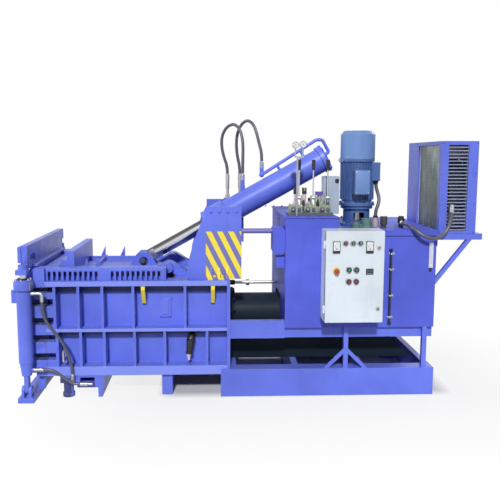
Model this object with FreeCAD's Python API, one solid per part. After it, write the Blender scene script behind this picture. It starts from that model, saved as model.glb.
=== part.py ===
import FreeCAD
import Part
import math
import os

# Horizontal scrap baler: side chamber with a folding lid, a lifting end door,
# a main ram, and a power pack with its tank, motor, valves, panel and cooler.
# Millimetres. X runs along the ram (door end at -X), Y across, Z up from the
# floor. The finished solids are moved so that the centre of the foundation
# bolts is the origin.

os.makedirs("parts", exist_ok=True)
V = FreeCAD.Vector

# ---------------------------------------------------------------- clearances
GAP = 0.3                    # curved faces that pass each other
PIN_GAP = 0.05               # running fit of a pin
SLIDE_GAP = 2.0              # flat guides
LID_GAP = 10.0               # lid to walls

# ---------------------------------------------------------------- chamber
BOX_X0 = -1704.0             # door end of the side walls
BOX_X1 = 40.0                # outer face of the end plate
END_T = 30.0
WALL_IN = 480.0              # half of the inner width
WALL_T = 30.0
RIB_DEPTH = 140.0
BOX_Z0 = 216.0
FLOOR_TOP = 305.0
FLOOR_T = 40.0
MID_Z = 644.0
MID_T = 31.0
TOP_Z = 1084.0
TOP_T = 48.0
COMB_H = 121.0               # comb above the top flange
RIB_T = 26.0
UPPER_RIBS = [-1620.0, -1397.0, -1171.0, -880.0, -389.0]
LOWER_RIBS = [-1606.0, -1383.0, -1160.0, -873.0, -585.0, -182.0]
GUSSET_X = [-786.0, -124.0]
GUSSET_T = 38.0
GUSSET_H = 190.0
COVER_X, COVER_Z = -585.0, 850.0
COVER_W, COVER_H, COVER_T = 112.0, 196.0, 14.0
COMB_X0, COMB_X1 = BOX_X0, -1112.0
COMB_PITCH = 49.0
COMB_RIB_T = 21.0
COMB_DEPTH = 92.0
COMB_BAR = 34.0              # bar along the tops of the comb's teeth
FAR_RISE = 6.0               # the far wall, which has no comb, above the lid's plate
GUIDE_SLOTS = [(372, 440), (548, 618), (715, 785), (895, 965), (1024, 1078)]
COMB_END = -570.0
LIP_T = 20.0

WALL_OUT = WALL_IN + WALL_T
OUT_Y = WALL_OUT + RIB_DEPTH
TOP_SURF = TOP_Z + TOP_T
COMB_TOP = TOP_SURF + COMB_H

# ---------------------------------------------------------------- door
DOOR_X0, DOOR_T = -1870.0, 60.0
DOOR_HALF = 524.0
DOOR_Z0, DOOR_Z1 = 240.0, 1262.0
DOOR_RIB = 34.0
GUIDE_LEN = 180.0            # length of the ribs behind the guide
YOKE_X0, YOKE_T = -1898.0, 62.0
YOKE_H = 218.0
YOKE_HALF = 704.0
LEDGE = 34.0
DCYL_X, DCYL_Y = -1878.0, 720.0
DCYL_R = 68.0
DCYL_Z0, DCYL_Z1 = 380.0, 1075.0
DCYL_WALL = 14.0
DHEAD_R, DHEAD_H = 89.0, 93.0
PORT_Z, LOW_PORT_Z = 1036.0, 304.0   # hose ports of the door cylinders
DROD_R = 34.0
FOOT_X0, FOOT_X1 = -1953.0, -1803.0
FOOT_HALF = 784.0
FOOT_T = 46.0
CLEVIS_PIN_Z = 110.0
CLEVIS_PIN_R = 17.0
DOOR_LIFT = 620.0

# ---------------------------------------------------------------- lid
HINGE_X, HINGE_Z = -560.0, 1215.0
HINGE_R = 22.0
HINGE_EYE = 46.0
LID_X0, LID_X1 = -1590.0, -590.0
LID_Z0, LID_T = 1130.0, 50.0
LID_HALF = WALL_IN - LID_GAP
BEAM_X0, BEAM_T, BEAM_H = -1530.0, 70.0, 214.0
LID_RIB_H, GUSSET_RISE = 42.0, 134.0
LUG_X, LUG_Z = -847.0, 1238.0
LUG_T = 34.0
LID_PIN_R = 28.0
FLOAT_DX, FLOAT_DZ = 11.0, -12.0    # centre of the float hole from the pin's rest place
FLOAT = 18.0                        # radial play of the pin in the lid's cheeks

# ---------------------------------------------------------------- lid cylinder
TRUN_X, TRUN_Z = -36.0, 1688.0
LCYL_R = 125.0
LCYL_BORE = 98.0
LCYL_FRONT, LCYL_REAR = 175.0, 1240.0   # from the trunnion, along the axis
LROD_R = 65.0
LROD_EYE_R = 70.0
LROD_EYE_W = 84.0
LROD_NECK = 152.0
TRUN_R = 45.0
TRUN_RING_R = 146.0
TRUN_RING_W = 130.0
PIPE_R = 17.0
HOSE_A_X, HOSE_A_Z = TRUN_X + 224.0, TRUN_Z + 144.0

# ---------------------------------------------------------------- tower
TOWER_X0, TOWER_X1 = -190.0, 150.0
TOWER_TOP = 1826.0
TIE_Y, TIE_Z = 546.0, 1594.0
TOWER_Y, TOWER_T = 532.0, 28.0      # inner face of the outer plates
CHEEK_Y, CHEEK_T = 156.0, 36.0
BRIDGE_Z0, BRIDGE_H = 1290.0, 120.0
HA_X, HB_X, HY = 37.0, 169.0, 240.0     # bulkhead fittings of the two lid hoses
BULK_Z = 1846.0

# ---------------------------------------------------------------- ram
RAM_Z = 680.0
MCYL_R = 190.0
MCYL_BORE = 165.0
MCYL_LEN = 1420.0
MROD_R = 110.0
RAM_X0 = -520.0
RAM_BODY = 300.0
RAM_STROKE = 980.0
RAM_GAP = 5.0

# ---------------------------------------------------------------- base
BASE_X0, BASE_X1 = -50.0, 2010.0
TUNNEL_Y, TUNNEL_Z = 216.0, 896.0
BASE_H = 269.0
BASE_T = 22.0
BASE_FL = 120.0
ANCHOR_DX, ANCHOR_Y = 900.0, 480.0
ANCHOR_R = 13.0
TANK_Z0 = 668.0
LEG_W = 44.0
LEG_MID_X, LEG_END_X = 1134.0, 1896.0
SIDE_BEAM_Z, SIDE_BEAM_H = 562.0, 174.0

# ---------------------------------------------------------------- power pack
CAB_X0, CAB_X1, CAB_TOP = 563.0, 1060.0, 1722.0
TANK_X1, TANK_TOP, TANK_LID_T = 2001.0, 1551.0, 56.0
PANEL_X0, PANEL_X1 = 902.0, 1438.0
PANEL_Z0, PANEL_Z1 = 779.0, 1629.0
PANEL_D = 212.0
PANEL_DOOR_T = 22.0
MOTOR_X, MOTOR_Y = 1330.0, -200.0
MOTOR_R = 150.0
FIN_R = 168.0
SIDE_BOX_X, SIDE_BOX_Z = 200.0, 244.0   # outer face and underside of the motor's side box
BELL_H, MOTOR_H, COWL_H = 205.0, 462.0, 277.0
COOL_X0, COOL_X1 = 2014.0, 2366.0
COOL_Y1 = 320.0
COOL_Z0, COOL_Z1 = 1571.0, 2442.0
COOL_POST = 92.0
PLAT_X1 = 2436.0
PLAT_T = 58.0
GLAND_H = 90.0               # conduit gland on the tank
BRACE_X, BRACE_Z = COOL_X1 - 28.0, 1080.0   # top and foot of the platform's braces
LID_HOSE_Z, FERRULE_L = 2104.0, 144.0       # lower ends of the lid hoses, and their ferrules
FITTING_Z = COOL_Z0 + 209.0                  # lower end of the cooler's hose elbow
TEST_X, TEST_Y, TEST_Z = -1544.0, -672.0, 370.0   # capped test port on the near wall

ORIGIN_X = (BASE_X0 + BASE_X1) / 2.0


# ---------------------------------------------------------------- helpers
def box(x0, x1, y0, y1, z0, z1):
    return Part.makeBox(x1 - x0, y1 - y0, z1 - z0, V(x0, y0, z0))


def cyl(p, axis, r, h):
    return Part.makeCylinder(r, h, V(*p), V(*axis))


def cone(p, axis, r1, r2, h):
    return Part.makeCone(r1, r2, h, V(*p), V(*axis))


def tube(p, axis, ro, ri, h):
    return cyl(p, axis, ro, h).cut(cyl(p, axis, ri, h))


def prism(points, vec):
    pts = [V(*p) for p in points]
    return Part.Face(Part.makePolygon(pts + [pts[0]])).extrude(V(*vec))


def plate_y(xz, y0, y1):
    return prism([(x, y0, z) for x, z in xz], (0, y1 - y0, 0))


def plate_x(yz, x0, x1):
    return prism([(x0, y, z) for y, z in yz], (x1 - x0, 0, 0))


def plate_z(xy, z0, z1):
    return prism([(x, y, z0) for x, y in xy], (0, 0, z1 - z0))


def fuse(parts):
    s = parts[0].multiFuse(parts[1:]) if len(parts) > 1 else parts[0]
    return s.removeSplitter()


def cut(s, tools):
    return s.cut(Part.makeCompound(tools)) if tools else s


def mirror_y(s):
    return s.mirror(V(0, 0, 0), V(0, 1, 0))


def both(s):
    return [s, mirror_y(s)]


def hexagon(p, axis, af, h):
    """Hexagonal head: across-flats af, height h, seated at p."""
    a = V(*axis).normalize()
    u = a.cross(V(0, 0, 1)) if abs(a.z) < 0.9 else V(1, 0, 0)
    u.normalize()
    w = a.cross(u)
    r = af / math.sqrt(3.0)
    pts = [V(*p) + u * (r * math.cos(k * math.pi / 3)) + w * (r * math.sin(k * math.pi / 3)) for k in range(6)]
    return Part.Face(Part.makePolygon(pts + [pts[0]])).extrude(a * h)


def rounded_bar(xz, y0, y1, r):
    """Plate in the XZ plane with rounded corners along Y."""
    s = plate_y(xz, y0, y1)
    edges = [e for e in s.Edges if abs(e.tangentAt(e.FirstParameter).y) > 0.99]
    return s.makeFillet(r, edges)


def round_box(x0, x1, y0, y1, z0, z1, r, direction):
    s = box(x0, x1, y0, y1, z0, z1)
    k = {"x": 0, "y": 1, "z": 2}[direction]
    edges = [e for e in s.Edges if abs(tuple(e.tangentAt(e.FirstParameter))[k]) > 0.99]
    return s.makeFillet(r, edges)


def axis_point(t, side=0.0, up=0.0):
    """Point on the lid cylinder's axis, t from the trunnion towards the rear."""
    return (TRUN_X + t * AX[0] - up * AX[2], side, TRUN_Z + t * AX[2] + up * AX[0])


def hose(points, r, name):
    """Round hose: straight runs joined by tangent arcs at each inner point."""
    pts = [V(*p) for p in points]
    runs = [(pts[i + 1] - pts[i]) for i in range(len(pts) - 1)]
    edges, cur, radii = [], pts[0], []
    for i in range(1, len(pts) - 1):
        a, b = runs[i - 1], runs[i]
        la, lb = a.Length, b.Length
        ua, ub = V(a).normalize(), V(b).normalize()
        turn = math.acos(max(-1.0, min(1.0, ua.dot(ub))))
        t = 0.45 * min(la, lb)
        rad = t / math.tan(turn / 2.0)
        radii.append(rad)
        p1, p2 = pts[i] - ua * t, pts[i] + ub * t
        bis = (ub - ua)
        bis.normalize()
        mid = pts[i] + bis * (rad / math.cos(turn / 2.0) - rad)
        edges.append(Part.LineSegment(cur, p1).toShape())
        edges.append(Part.Arc(p1, mid, p2).toShape())
        cur = p2
    edges.append(Part.LineSegment(cur, pts[-1]).toShape())
    wire = Part.Wire(edges)
    start = V(runs[0]).normalize()
    ring = Part.Wire(Part.makeCircle(r, pts[0], start))
    s = wire.makePipeShell([ring], True, False)
    want = math.pi * r * r * wire.Length
    print("%s: length %.0f mm, radii %s, volume ratio %.4f" % (
        name, wire.Length, ", ".join("%.0f" % q for q in radii), s.Volume / want))
    return s


def write(name, shape):
    s = shape.copy()
    s.translate(V(-ORIGIN_X, 0, 0))
    s.exportStep("parts/" + name + ".step")


def group(solids):
    return Part.makeCompound(solids)


# ================================================================ chamber
def stacked_plates(z0, z1):
    """Bottom and top of each plate between the slots of the door end."""
    inner = [z for a, b in GUIDE_SLOTS if a > z0 and b < z1 for z in (a, b)]
    ends = [z0] + inner + [z1]
    return list(zip(ends[::2], ends[1::2]))


def side_wall(top):
    """Side wall on the -Y side: plate, three flanges, stiffening ribs and two tapered gussets."""
    y0, y1 = -OUT_Y, -WALL_OUT
    x0, x1 = BOX_X0, BOX_X1 - END_T
    wall = plate_y([(x0, BOX_Z0), (x1, BOX_Z0), (x1, TOP_SURF), (COMB_END, TOP_SURF),
                    (COMB_END, top), (x0, top)], -WALL_OUT, -WALL_IN)
    parts = [wall]
    parts.append(box(x0, x1, y0, y1, FLOOR_TOP - MID_T, FLOOR_TOP))
    parts.append(box(x0, x1, y0, y0 + LIP_T, BOX_Z0, FLOOR_TOP))
    parts.append(box(x0, x1, y0, y1, MID_Z, MID_Z + MID_T))
    parts.append(box(x0, x1, y0, y1, TOP_Z, TOP_SURF))
    for x in UPPER_RIBS:
        parts.append(box(x - RIB_T / 2, x + RIB_T / 2, y0 + 6, y1, MID_Z + MID_T, TOP_Z))
    for x in LOWER_RIBS:
        parts.append(box(x - RIB_T / 2, x + RIB_T / 2, y0 + 6, y1, FLOOR_TOP, MID_Z))
    for x1, z0, z1 in ((LOWER_RIBS[0], FLOOR_TOP, MID_Z), (UPPER_RIBS[0], MID_Z + MID_T, TOP_Z)):
        for a, b in stacked_plates(z0, z1):
            parts.append(box(x0, x1, y0 + 4, y1, a, b))
    for x in GUSSET_X:
        parts.append(plate_x([(y0 + 6, TOP_Z), (y1, TOP_Z), (y1, TOP_Z - GUSSET_H),
                              (y1 - 34, TOP_Z - GUSSET_H), (y0 + 6, TOP_Z - 40)],
                             x - GUSSET_T / 2, x + GUSSET_T / 2))
    return fuse(parts)


write("side_near", side_wall(COMB_TOP - 6))
write("side_far", mirror_y(side_wall(LID_Z0 + LID_T + FAR_RISE)))

# floor plate with cross channels under it
floor = [box(BOX_X0, BOX_X1 - END_T, -WALL_IN, WALL_IN, FLOOR_TOP - FLOOR_T, FLOOR_TOP)]
for x in LOWER_RIBS[:5] + [-60.0]:
    floor.append(box(x - 25, x + 25, -WALL_IN, WALL_IN, BOX_Z0, FLOOR_TOP - FLOOR_T))
write("chamber_floor", fuse(floor))

# end plate with the ram opening, and the fixed cover over the ram
COVER_X0 = HINGE_X + HINGE_EYE + 24
end_plate = box(BOX_X1 - END_T, BOX_X1, -OUT_Y, OUT_Y, BOX_Z0, TOP_SURF)
end_plate = end_plate.cut(cyl((BOX_X1 - END_T, 0, RAM_Z), (1, 0, 0), MROD_R + 14, END_T))
top_cover = box(COVER_X0, BOX_X1 - END_T, -WALL_IN, WALL_IN, TOP_SURF - 34, TOP_SURF)
write("end_frame", fuse([end_plate, top_cover]))

# combs: slotted strips that guide the shear edge, with bolts in the slots
comb_solids, bolt_solids = [], []
n_comb = 11
comb_y0, comb_y1 = -WALL_OUT - COMB_DEPTH, -WALL_OUT - 26
for x0 in (COMB_X0, COMB_X1):
    length = COMB_PITCH * (n_comb - 1) + COMB_RIB_T
    teeth = [box(x0, x0 + length, comb_y1, -WALL_OUT, TOP_SURF, COMB_TOP),
             plate_x([(comb_y1, COMB_TOP - COMB_BAR), (comb_y0, COMB_TOP - COMB_BAR), (comb_y0, COMB_TOP - 14),
                      (comb_y0 + 14, COMB_TOP), (comb_y1, COMB_TOP)], x0, x0 + length)]
    for k in range(n_comb):
        xr = x0 + k * COMB_PITCH
        teeth.append(box(xr, xr + COMB_RIB_T, comb_y0, comb_y1, TOP_SURF, COMB_TOP - COMB_BAR))
        if k < n_comb - 1:
            bolt_solids.append(hexagon((xr + (COMB_RIB_T + COMB_PITCH) / 2, comb_y1, TOP_SURF + 44), (0, -1, 0), 20, 14))
    comb_solids.append(fuse(teeth))
for x0, x1 in ((COMB_X0 + length, COMB_X1), (COMB_X1 + length, COMB_END)):
    comb_solids.append(box(x0, x1, comb_y0, -WALL_OUT, TOP_SURF, COMB_TOP))
write("combs", group(comb_solids))
write("comb_bolts", group(bolt_solids))

# bolted cover plate on the near wall
cover = round_box(COVER_X - COVER_W / 2, COVER_X + COVER_W / 2, -WALL_OUT - COVER_T, -WALL_OUT,
                  COVER_Z - COVER_H / 2, COVER_Z + COVER_H / 2, 12, "y")
pad = round_box(COVER_X - COVER_W / 2 + 22, COVER_X + COVER_W / 2 - 22, -WALL_OUT - COVER_T - 8,
                -WALL_OUT - COVER_T, COVER_Z - COVER_H / 2 + 26, COVER_Z + COVER_H / 2 - 26, 10, "y")
heads = [hexagon((COVER_X + sx * (COVER_W / 2 - 13), -WALL_OUT - COVER_T, COVER_Z + sz * (COVER_H / 2 - 14)),
                 (0, -1, 0), 15, 8) for sx in (-1, 1) for sz in (-1, 1)]
write("cover_plate", fuse([cover, pad] + heads))

# ================================================================ door end
GUIDE_X = DOOR_X0 + DOOR_T + SLIDE_GAP      # face that the door slides on


def door_guide():
    """Near guide: post on the wall's end, stacked ribs behind it, claw over the door's edge."""
    post = box(GUIDE_X, BOX_X0, -OUT_Y, -WALL_IN, BOX_Z0, COMB_TOP)
    parts = [post]
    claw_y = DOOR_HALF + SLIDE_GAP
    parts.append(box(DOOR_X0 - 40, GUIDE_X, -claw_y - 26, -claw_y, BOX_Z0, COMB_TOP - 30))
    parts.append(box(DOOR_X0 - 40, DOOR_X0 - SLIDE_GAP, -claw_y, -claw_y + 60, BOX_Z0, COMB_TOP - 30))
    for a, b in stacked_plates(FLOOR_TOP, TOP_SURF)[:-1]:       # the highest would meet the cylinder's head
        parts.append(box(DOOR_X0 + 6, GUIDE_X, -OUT_Y + 4, -claw_y - 26, a, b))
    slots = [box(GUIDE_X, BOX_X0, -OUT_Y, -claw_y - 26, a, b) for a, b in GUIDE_SLOTS]
    return cut(fuse(parts), slots)


guide = door_guide()
tie_beam = box(GUIDE_X + 10, BOX_X0 + 60, -WALL_IN, WALL_IN, TOP_SURF + 20, TOP_SURF + 90)
sill = box(GUIDE_X, BOX_X0, -WALL_IN, WALL_IN, BOX_Z0, FLOOR_TOP)
write("door_guides", group(both(guide) + [tie_beam, sill]))

# door plate with its ribs, lifting yoke and the two rods
door = box(DOOR_X0, DOOR_X0 + DOOR_T, -DOOR_HALF, DOOR_HALF, DOOR_Z0, DOOR_Z1)
ribs = []
n_rib = 4
rib_half = DOOR_HALF - 80
for k in range(n_rib):
    z = DOOR_Z0 + 120 + k * (DOOR_Z1 - DOOR_Z0 - 300) / (n_rib - 1)
    ribs.append(box(DOOR_X0 - 120, DOOR_X0, -rib_half, rib_half, z, z + DOOR_RIB))
for y in (-rib_half, -rib_half / 3, rib_half / 3 - DOOR_RIB, rib_half - DOOR_RIB):
    ribs.append(box(DOOR_X0 - 96, DOOR_X0, y, y + DOOR_RIB, DOOR_Z0 + 120, DOOR_Z1 - 180))
yoke_z0 = DOOR_Z1
web = plate_x([(-YOKE_HALF, yoke_z0), (YOKE_HALF, yoke_z0), (YOKE_HALF, yoke_z0 + YOKE_H),
               (-YOKE_HALF, yoke_z0 + YOKE_H)], YOKE_X0, YOKE_X0 + YOKE_T)
notch = box(YOKE_X0, YOKE_X0 + YOKE_T, YOKE_HALF - 60, YOKE_HALF, yoke_z0, yoke_z0 + 110)
web = web.cut(notch)
web = web.cut(round_box(YOKE_X0, YOKE_X0 + YOKE_T, -YOKE_HALF + 66, -YOKE_HALF + 270,
                        yoke_z0 + 54, yoke_z0 + 122, 30, "x"))
ledge = box(YOKE_X0 + YOKE_T, DOOR_X0 + DOOR_T + LEDGE - 8, -DOOR_HALF - 20, DOOR_HALF, yoke_z0, yoke_z0 + 22)
cap_plate = box(YOKE_X0 - 24, YOKE_X0 + 6, -YOKE_HALF - 14, -YOKE_HALF + 60, yoke_z0 + 60, yoke_z0 + YOKE_H - 10)
pads = [box(DCYL_X - 58, DCYL_X + 44, s * DCYL_Y - 44, s * DCYL_Y + 44, yoke_z0 - 46, yoke_z0) for s in (-1, 1)]
collars = [cyl((DCYL_X, s * DCYL_Y, yoke_z0 - 46), (0, 0, 1), 42, 92) for s in (-1, 1)]
door_body = fuse([door, web, ledge, cap_plate] + ribs + pads + collars)

rod_bottom = DCYL_Z0 + 25


def door_rod(s):
    stem = cyl((DCYL_X, s * DCYL_Y, rod_bottom), (0, 0, 1), DROD_R, yoke_z0 - 46 - rod_bottom)
    return fuse([stem, cyl((DCYL_X, s * DCYL_Y, rod_bottom), (0, 0, 1), DCYL_R - DCYL_WALL - GAP, 30)])


write("door_plate", group([door_body] + [door_rod(s) for s in (-1, 1)]))


def door_cylinder(s):
    y = s * DCYL_Y
    ri = DCYL_R - DCYL_WALL
    barrel = cyl((DCYL_X, y, DCYL_Z0), (0, 0, 1), DCYL_R, DCYL_Z1 - DCYL_Z0)
    head = cyl((DCYL_X, y, DCYL_Z1), (0, 0, 1), DHEAD_R, DHEAD_H - 22)
    cap = cyl((DCYL_X, y, DCYL_Z1 + DHEAD_H - 22), (0, 0, 1), DHEAD_R - 8, 22)
    lower = cone((DCYL_X, y, DCYL_Z0 - 24), (0, 0, 1), 60, 64, 24)
    taper = cone((DCYL_X, y, 253), (0, 0, 1), 46, 60, DCYL_Z0 - 24 - 253)
    tongue = box(DCYL_X - 20, DCYL_X + 20, y - 34, y + 34, CLEVIS_PIN_Z, 260)
    tip = cyl((DCYL_X - 20, y, CLEVIS_PIN_Z), (1, 0, 0), 34, 40)
    body = fuse([barrel, head, cap, lower, taper, tongue, tip])
    bore = cyl((DCYL_X, y, DCYL_Z0 + 20), (0, 0, 1), ri, DCYL_Z1 - DCYL_Z0 - 20)
    gland = cyl((DCYL_X, y, DCYL_Z1), (0, 0, 1), DROD_R + PIN_GAP, DHEAD_H)
    eye = cyl((DCYL_X - 20, y, CLEVIS_PIN_Z), (1, 0, 0), CLEVIS_PIN_R + 0.4, 40)
    body = body.cut(bore).cut(gland).cut(eye)
    bolts = [hexagon((DCYL_X + 66 * math.cos(a), y + 66 * math.sin(a), DCYL_Z1 + DHEAD_H), (0, 0, 1), 20, 12)
             for a in [math.pi / 6 + k * math.pi / 3 for k in range(6)]]
    lug = box(DCYL_X - DHEAD_R - 22, DCYL_X - DCYL_R + 6, y - 16, y + 16, 950, DCYL_Z1 - 4)
    ports = [cyl((DCYL_X + DCYL_R - 4, y, z), (1, 0, 0), 20, 34) for z in (PORT_Z,)]
    lower_port = cyl((DCYL_X + 30, y, LOW_PORT_Z), (1, 0, 0), 18, 68)
    return fuse([body, lower_port, lug.cut(cyl((DCYL_X, y, 940), (0, 0, 1), ri + 2, 200))] + bolts
                + [p.cut(cyl((DCYL_X, y, p.BoundBox.ZMin - 5), (0, 0, 1), ri + 2, 60)) for p in ports])


write("door_cylinders", group([door_cylinder(-1), door_cylinder(1)]))

# foot beam under the door with the two clevises
foot = [box(FOOT_X0, FOOT_X1, -FOOT_HALF, FOOT_HALF, 0, FOOT_T)]
for s in (-1, 1):
    y = s * DCYL_Y
    for x in (DCYL_X - 20 - 2 - 24, DCYL_X + 20 + 2):
        foot.append(fuse([box(x, x + 24, y - 40, y + 40, FOOT_T, CLEVIS_PIN_Z),
                          cyl((x, y, CLEVIS_PIN_Z), (1, 0, 0), 40, 24)]))
foot = fuse(foot)
pins = [cyl((DCYL_X - 54, s * DCYL_Y, CLEVIS_PIN_Z), (1, 0, 0), CLEVIS_PIN_R, 108) for s in (-1, 1)]
stays = [plate_y([(FOOT_X1 - 14, FOOT_T), (GUIDE_X + 60, FOOT_T + 20), (GUIDE_X + 60, BOX_Z0),
                  (GUIDE_X, BOX_Z0)], s * 560 - 15, s * 560 + 15) for s in (-1, 1)]
write("foot_beam", fuse([foot] + pins + stays))

# ================================================================ stands under the chamber
STAND_Y = OUT_Y - 10.0       # half width of the cross stands
under = []
for s in (-1, 1):
    y = s * 590.0
    under.append(cyl((-1520, y, 34), (0, 0, 1), 48, 140 - 34))
    under.append(cyl((-1520, y, 0), (0, 0, 1), 58, 34))
    under.append(box(-1590, -1430, y - 50, y + 50, 140, BOX_Z0))
brace = box(-1430, -1175, -STAND_Y, STAND_Y, 95, BOX_Z0)
brace = brace.cut(box(-1400, -1262, -STAND_Y, STAND_Y, 132, BOX_Z0 - 22))
under.append(brace)
under.append(box(-1230, -1190, -STAND_Y, STAND_Y, 0, 95))
under.append(box(-620, -520, -600, 600, 0, BOX_Z0))
write("under_frame", fuse(under))

# ================================================================ base frame
RAIL_Y = OUT_Y + BASE_T
FRAME_X0 = BOX_X1 + 4
web_n = box(BASE_X0, BASE_X1, -RAIL_Y, -OUT_Y, 0, BASE_H)
fl_top = box(FRAME_X0, BASE_X1, -OUT_Y, -OUT_Y + BASE_FL, BASE_H - 20, BASE_H)
fl_bot = box(FRAME_X0, BASE_X1, -OUT_Y, -OUT_Y + BASE_FL, 0, 20)
rail = fuse([web_n, fl_top, fl_bot])
cross = [box(x, x + 60, -OUT_Y, OUT_Y, 20, BASE_H) for x in (FRAME_X0, 650.0, 1300.0, BASE_X1 - 60)]
seat = box(BASE_X0, BOX_X1, -OUT_Y, OUT_Y, 0, BOX_Z0)
feet = []
for sx in (-1, 1):
    for sy in (-1, 1):
        cx, cy = ORIGIN_X + sx * ANCHOR_DX, sy * ANCHOR_Y
        f = box(cx - 84, cx + 84, cy - 60, cy + 60, 0, 20)
        feet.append(f.cut(cyl((cx, cy, 0), (0, 0, 1), ANCHOR_R, 20)))
base = fuse([rail, mirror_y(rail), seat] + cross + feet)
# legs that carry the tank, with knee braces at the middle pair
legs = []
for x in (LEG_MID_X, LEG_END_X):
    for s in (-1, 1):
        y0 = OUT_Y - LEG_W if s > 0 else -OUT_Y
        legs.append(box(x, x + LEG_W, y0, y0 + LEG_W, BASE_H, TANK_Z0))
for s in (-1, 1):
    y0 = -OUT_Y if s < 0 else OUT_Y - 20
    for sgn in (-1, 1):
        xa = LEG_MID_X + (LEG_W if sgn > 0 else 0)
        legs.append(plate_y([(xa, BASE_H + 190), (xa, BASE_H + 140), (xa + sgn * 140, BASE_H),
                             (xa + sgn * 190, BASE_H)], y0, y0 + 20))
write("base_frame", fuse([base] + legs))

# side beams between the chamber's end and the power pack
b = box(BOX_X1, TANK_X1, -OUT_Y + LEG_W, -OUT_Y + LEG_W + 26, SIDE_BEAM_Z, TANK_Z0)
b2 = box(BOX_X1, CAB_X0, -OUT_Y + 20, -OUT_Y + LEG_W + 26, SIDE_BEAM_Z, SIDE_BEAM_Z + SIDE_BEAM_H)
write("side_beams", group(both(fuse([b, b2]))))

# ================================================================ main cylinder and thrust frame
mcx = BOX_X1                 # front face of the main cylinder's flange
flange = cyl((mcx, 0, RAM_Z), (1, 0, 0), MCYL_R + 60, 46)
barrel = cyl((mcx + 46, 0, RAM_Z), (1, 0, 0), MCYL_R, MCYL_LEN - 46)
rear = cyl((mcx + MCYL_LEN, 0, RAM_Z), (1, 0, 0), MCYL_R + 14, 70)
body = fuse([flange, barrel, rear])
body = body.cut(cyl((mcx + 120, 0, RAM_Z), (1, 0, 0), MCYL_BORE, MCYL_LEN - 160))
body = body.cut(cyl((mcx, 0, RAM_Z), (1, 0, 0), MROD_R + PIN_GAP, 140))
mb = [hexagon((mcx + 46, (MCYL_R + 34) * math.cos(a), RAM_Z + (MCYL_R + 34) * math.sin(a)), (1, 0, 0), 30, 18)
      for a in [math.pi / 12 + k * math.pi / 6 for k in range(12)]]
write("main_cylinder", fuse([body] + mb))

# thrust frame behind and under the main cylinder: sloped cheeks and saddles
tf = []
SADDLE_Z, SLOPE_X = 558.0, mcx + MCYL_LEN + 430.0
xs = mcx + MCYL_LEN + 70
for s in (-1, 1):
    y = s * 300.0
    tf.append(plate_y([(FRAME_X0, BASE_H), (SLOPE_X, BASE_H), (SLOPE_X - 190, SADDLE_Z - 88), (SLOPE_X - 410, SADDLE_Z),
                       (FRAME_X0, SADDLE_Z)], y - 15, y + 15))
tf.append(box(xs + 4, xs + 44, -285, 285, BASE_H, 540))
for x in (760.0, 1250.0):
    sd = box(x, x + 40, -285, 285, BASE_H, SADDLE_Z + 2)
    tf.append(sd.cut(cyl((x - 1, 0, RAM_Z), (1, 0, 0), MCYL_R + 0.2, 42)))
write("thrust_frame", fuse(tf))

# ================================================================ ram
rz0, rz1 = FLOOR_TOP + RAM_GAP, TOP_SURF - 34 - RAM_GAP
ry = WALL_IN - RAM_GAP
platen = box(RAM_X0, RAM_X0 + 50, -ry, ry, rz0, rz1)
pr = [platen]
for z in (rz0, (rz0 + rz1) / 2 - 15, rz1 - 30):
    pr.append(box(RAM_X0 + 50, RAM_X0 + RAM_BODY, -ry, ry, z, z + 30))
for y in (-ry, -200, 170, ry - 30):
    pr.append(box(RAM_X0 + 50, RAM_X0 + RAM_BODY, y, y + 30, rz0, rz1))
ram = fuse(pr)
hub = cyl((RAM_X0 + 50, 0, RAM_Z), (1, 0, 0), MROD_R + 40, RAM_BODY - 50)
ram = fuse([ram, hub]).cut(cyl((RAM_X0 + 90, 0, RAM_Z), (1, 0, 0), MROD_R, RAM_BODY))
ram_rod = fuse([cyl((RAM_X0 + 90, 0, RAM_Z), (1, 0, 0), MROD_R, mcx + MCYL_LEN - 180 - RAM_X0 - 90),
                cyl((mcx + MCYL_LEN - 180, 0, RAM_Z), (1, 0, 0), MCYL_BORE - GAP, 110)])
write("ram_platen", group([ram, ram_rod]))

# ================================================================ lid
dx, dz = TRUN_X - LUG_X, TRUN_Z - LUG_Z
reach = math.hypot(dx, dz)
AX = (dx / reach, 0.0, dz / reach)
UP = (-AX[2], 0.0, AX[0])

lid_top = LID_Z0 + LID_T
lid = [box(LID_X0, LID_X1, -LID_HALF, LID_HALF, LID_Z0, lid_top)]
lid.append(box(BEAM_X0, BEAM_X0 + BEAM_T, -LID_HALF, LID_HALF, lid_top, lid_top + BEAM_H))
lid.append(box(LID_X0, BEAM_X0, -LID_HALF, LID_HALF, lid_top, lid_top + 130))
# low cross stiffener, and a pair of holed triangular gussets beside the near edge
lid.append(box(-1306.0, -1286.0, -LID_HALF + 50, LID_HALF - 60, lid_top, lid_top + LID_RIB_H))
for x0, apex, x1 in ((-1395.0, -1355.0, -1318.0), (-1297.0, -1244.0, -1200.0)):
    web = plate_y([(x0, lid_top), (x1, lid_top), (apex, lid_top + GUSSET_RISE)], -LID_HALF + 58, -LID_HALF + 78)
    lid.append(web.cut(cyl((apex, -LID_HALF + 58, lid_top + 36), (0, 1, 0), 15, 20)))
# fins along the far edge
for x0, x1 in ((-1372.0, -1312.0), (-1161.0, -1097.0)):
    lid.append(plate_y([(x0, lid_top), (x1, lid_top), (x1, lid_top + GUSSET_RISE)], LID_HALF - 52, LID_HALF - 30))
# low ribs along the lid
for y in (-330.0, 300.0):
    lid.append(plate_y([(BEAM_X0 + BEAM_T, lid_top), (LID_X1 - 10, lid_top), (LID_X1 - 60, lid_top + LID_RIB_H),
                        (BEAM_X0 + BEAM_T, lid_top + LID_RIB_H)], y, y + 24))
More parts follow.
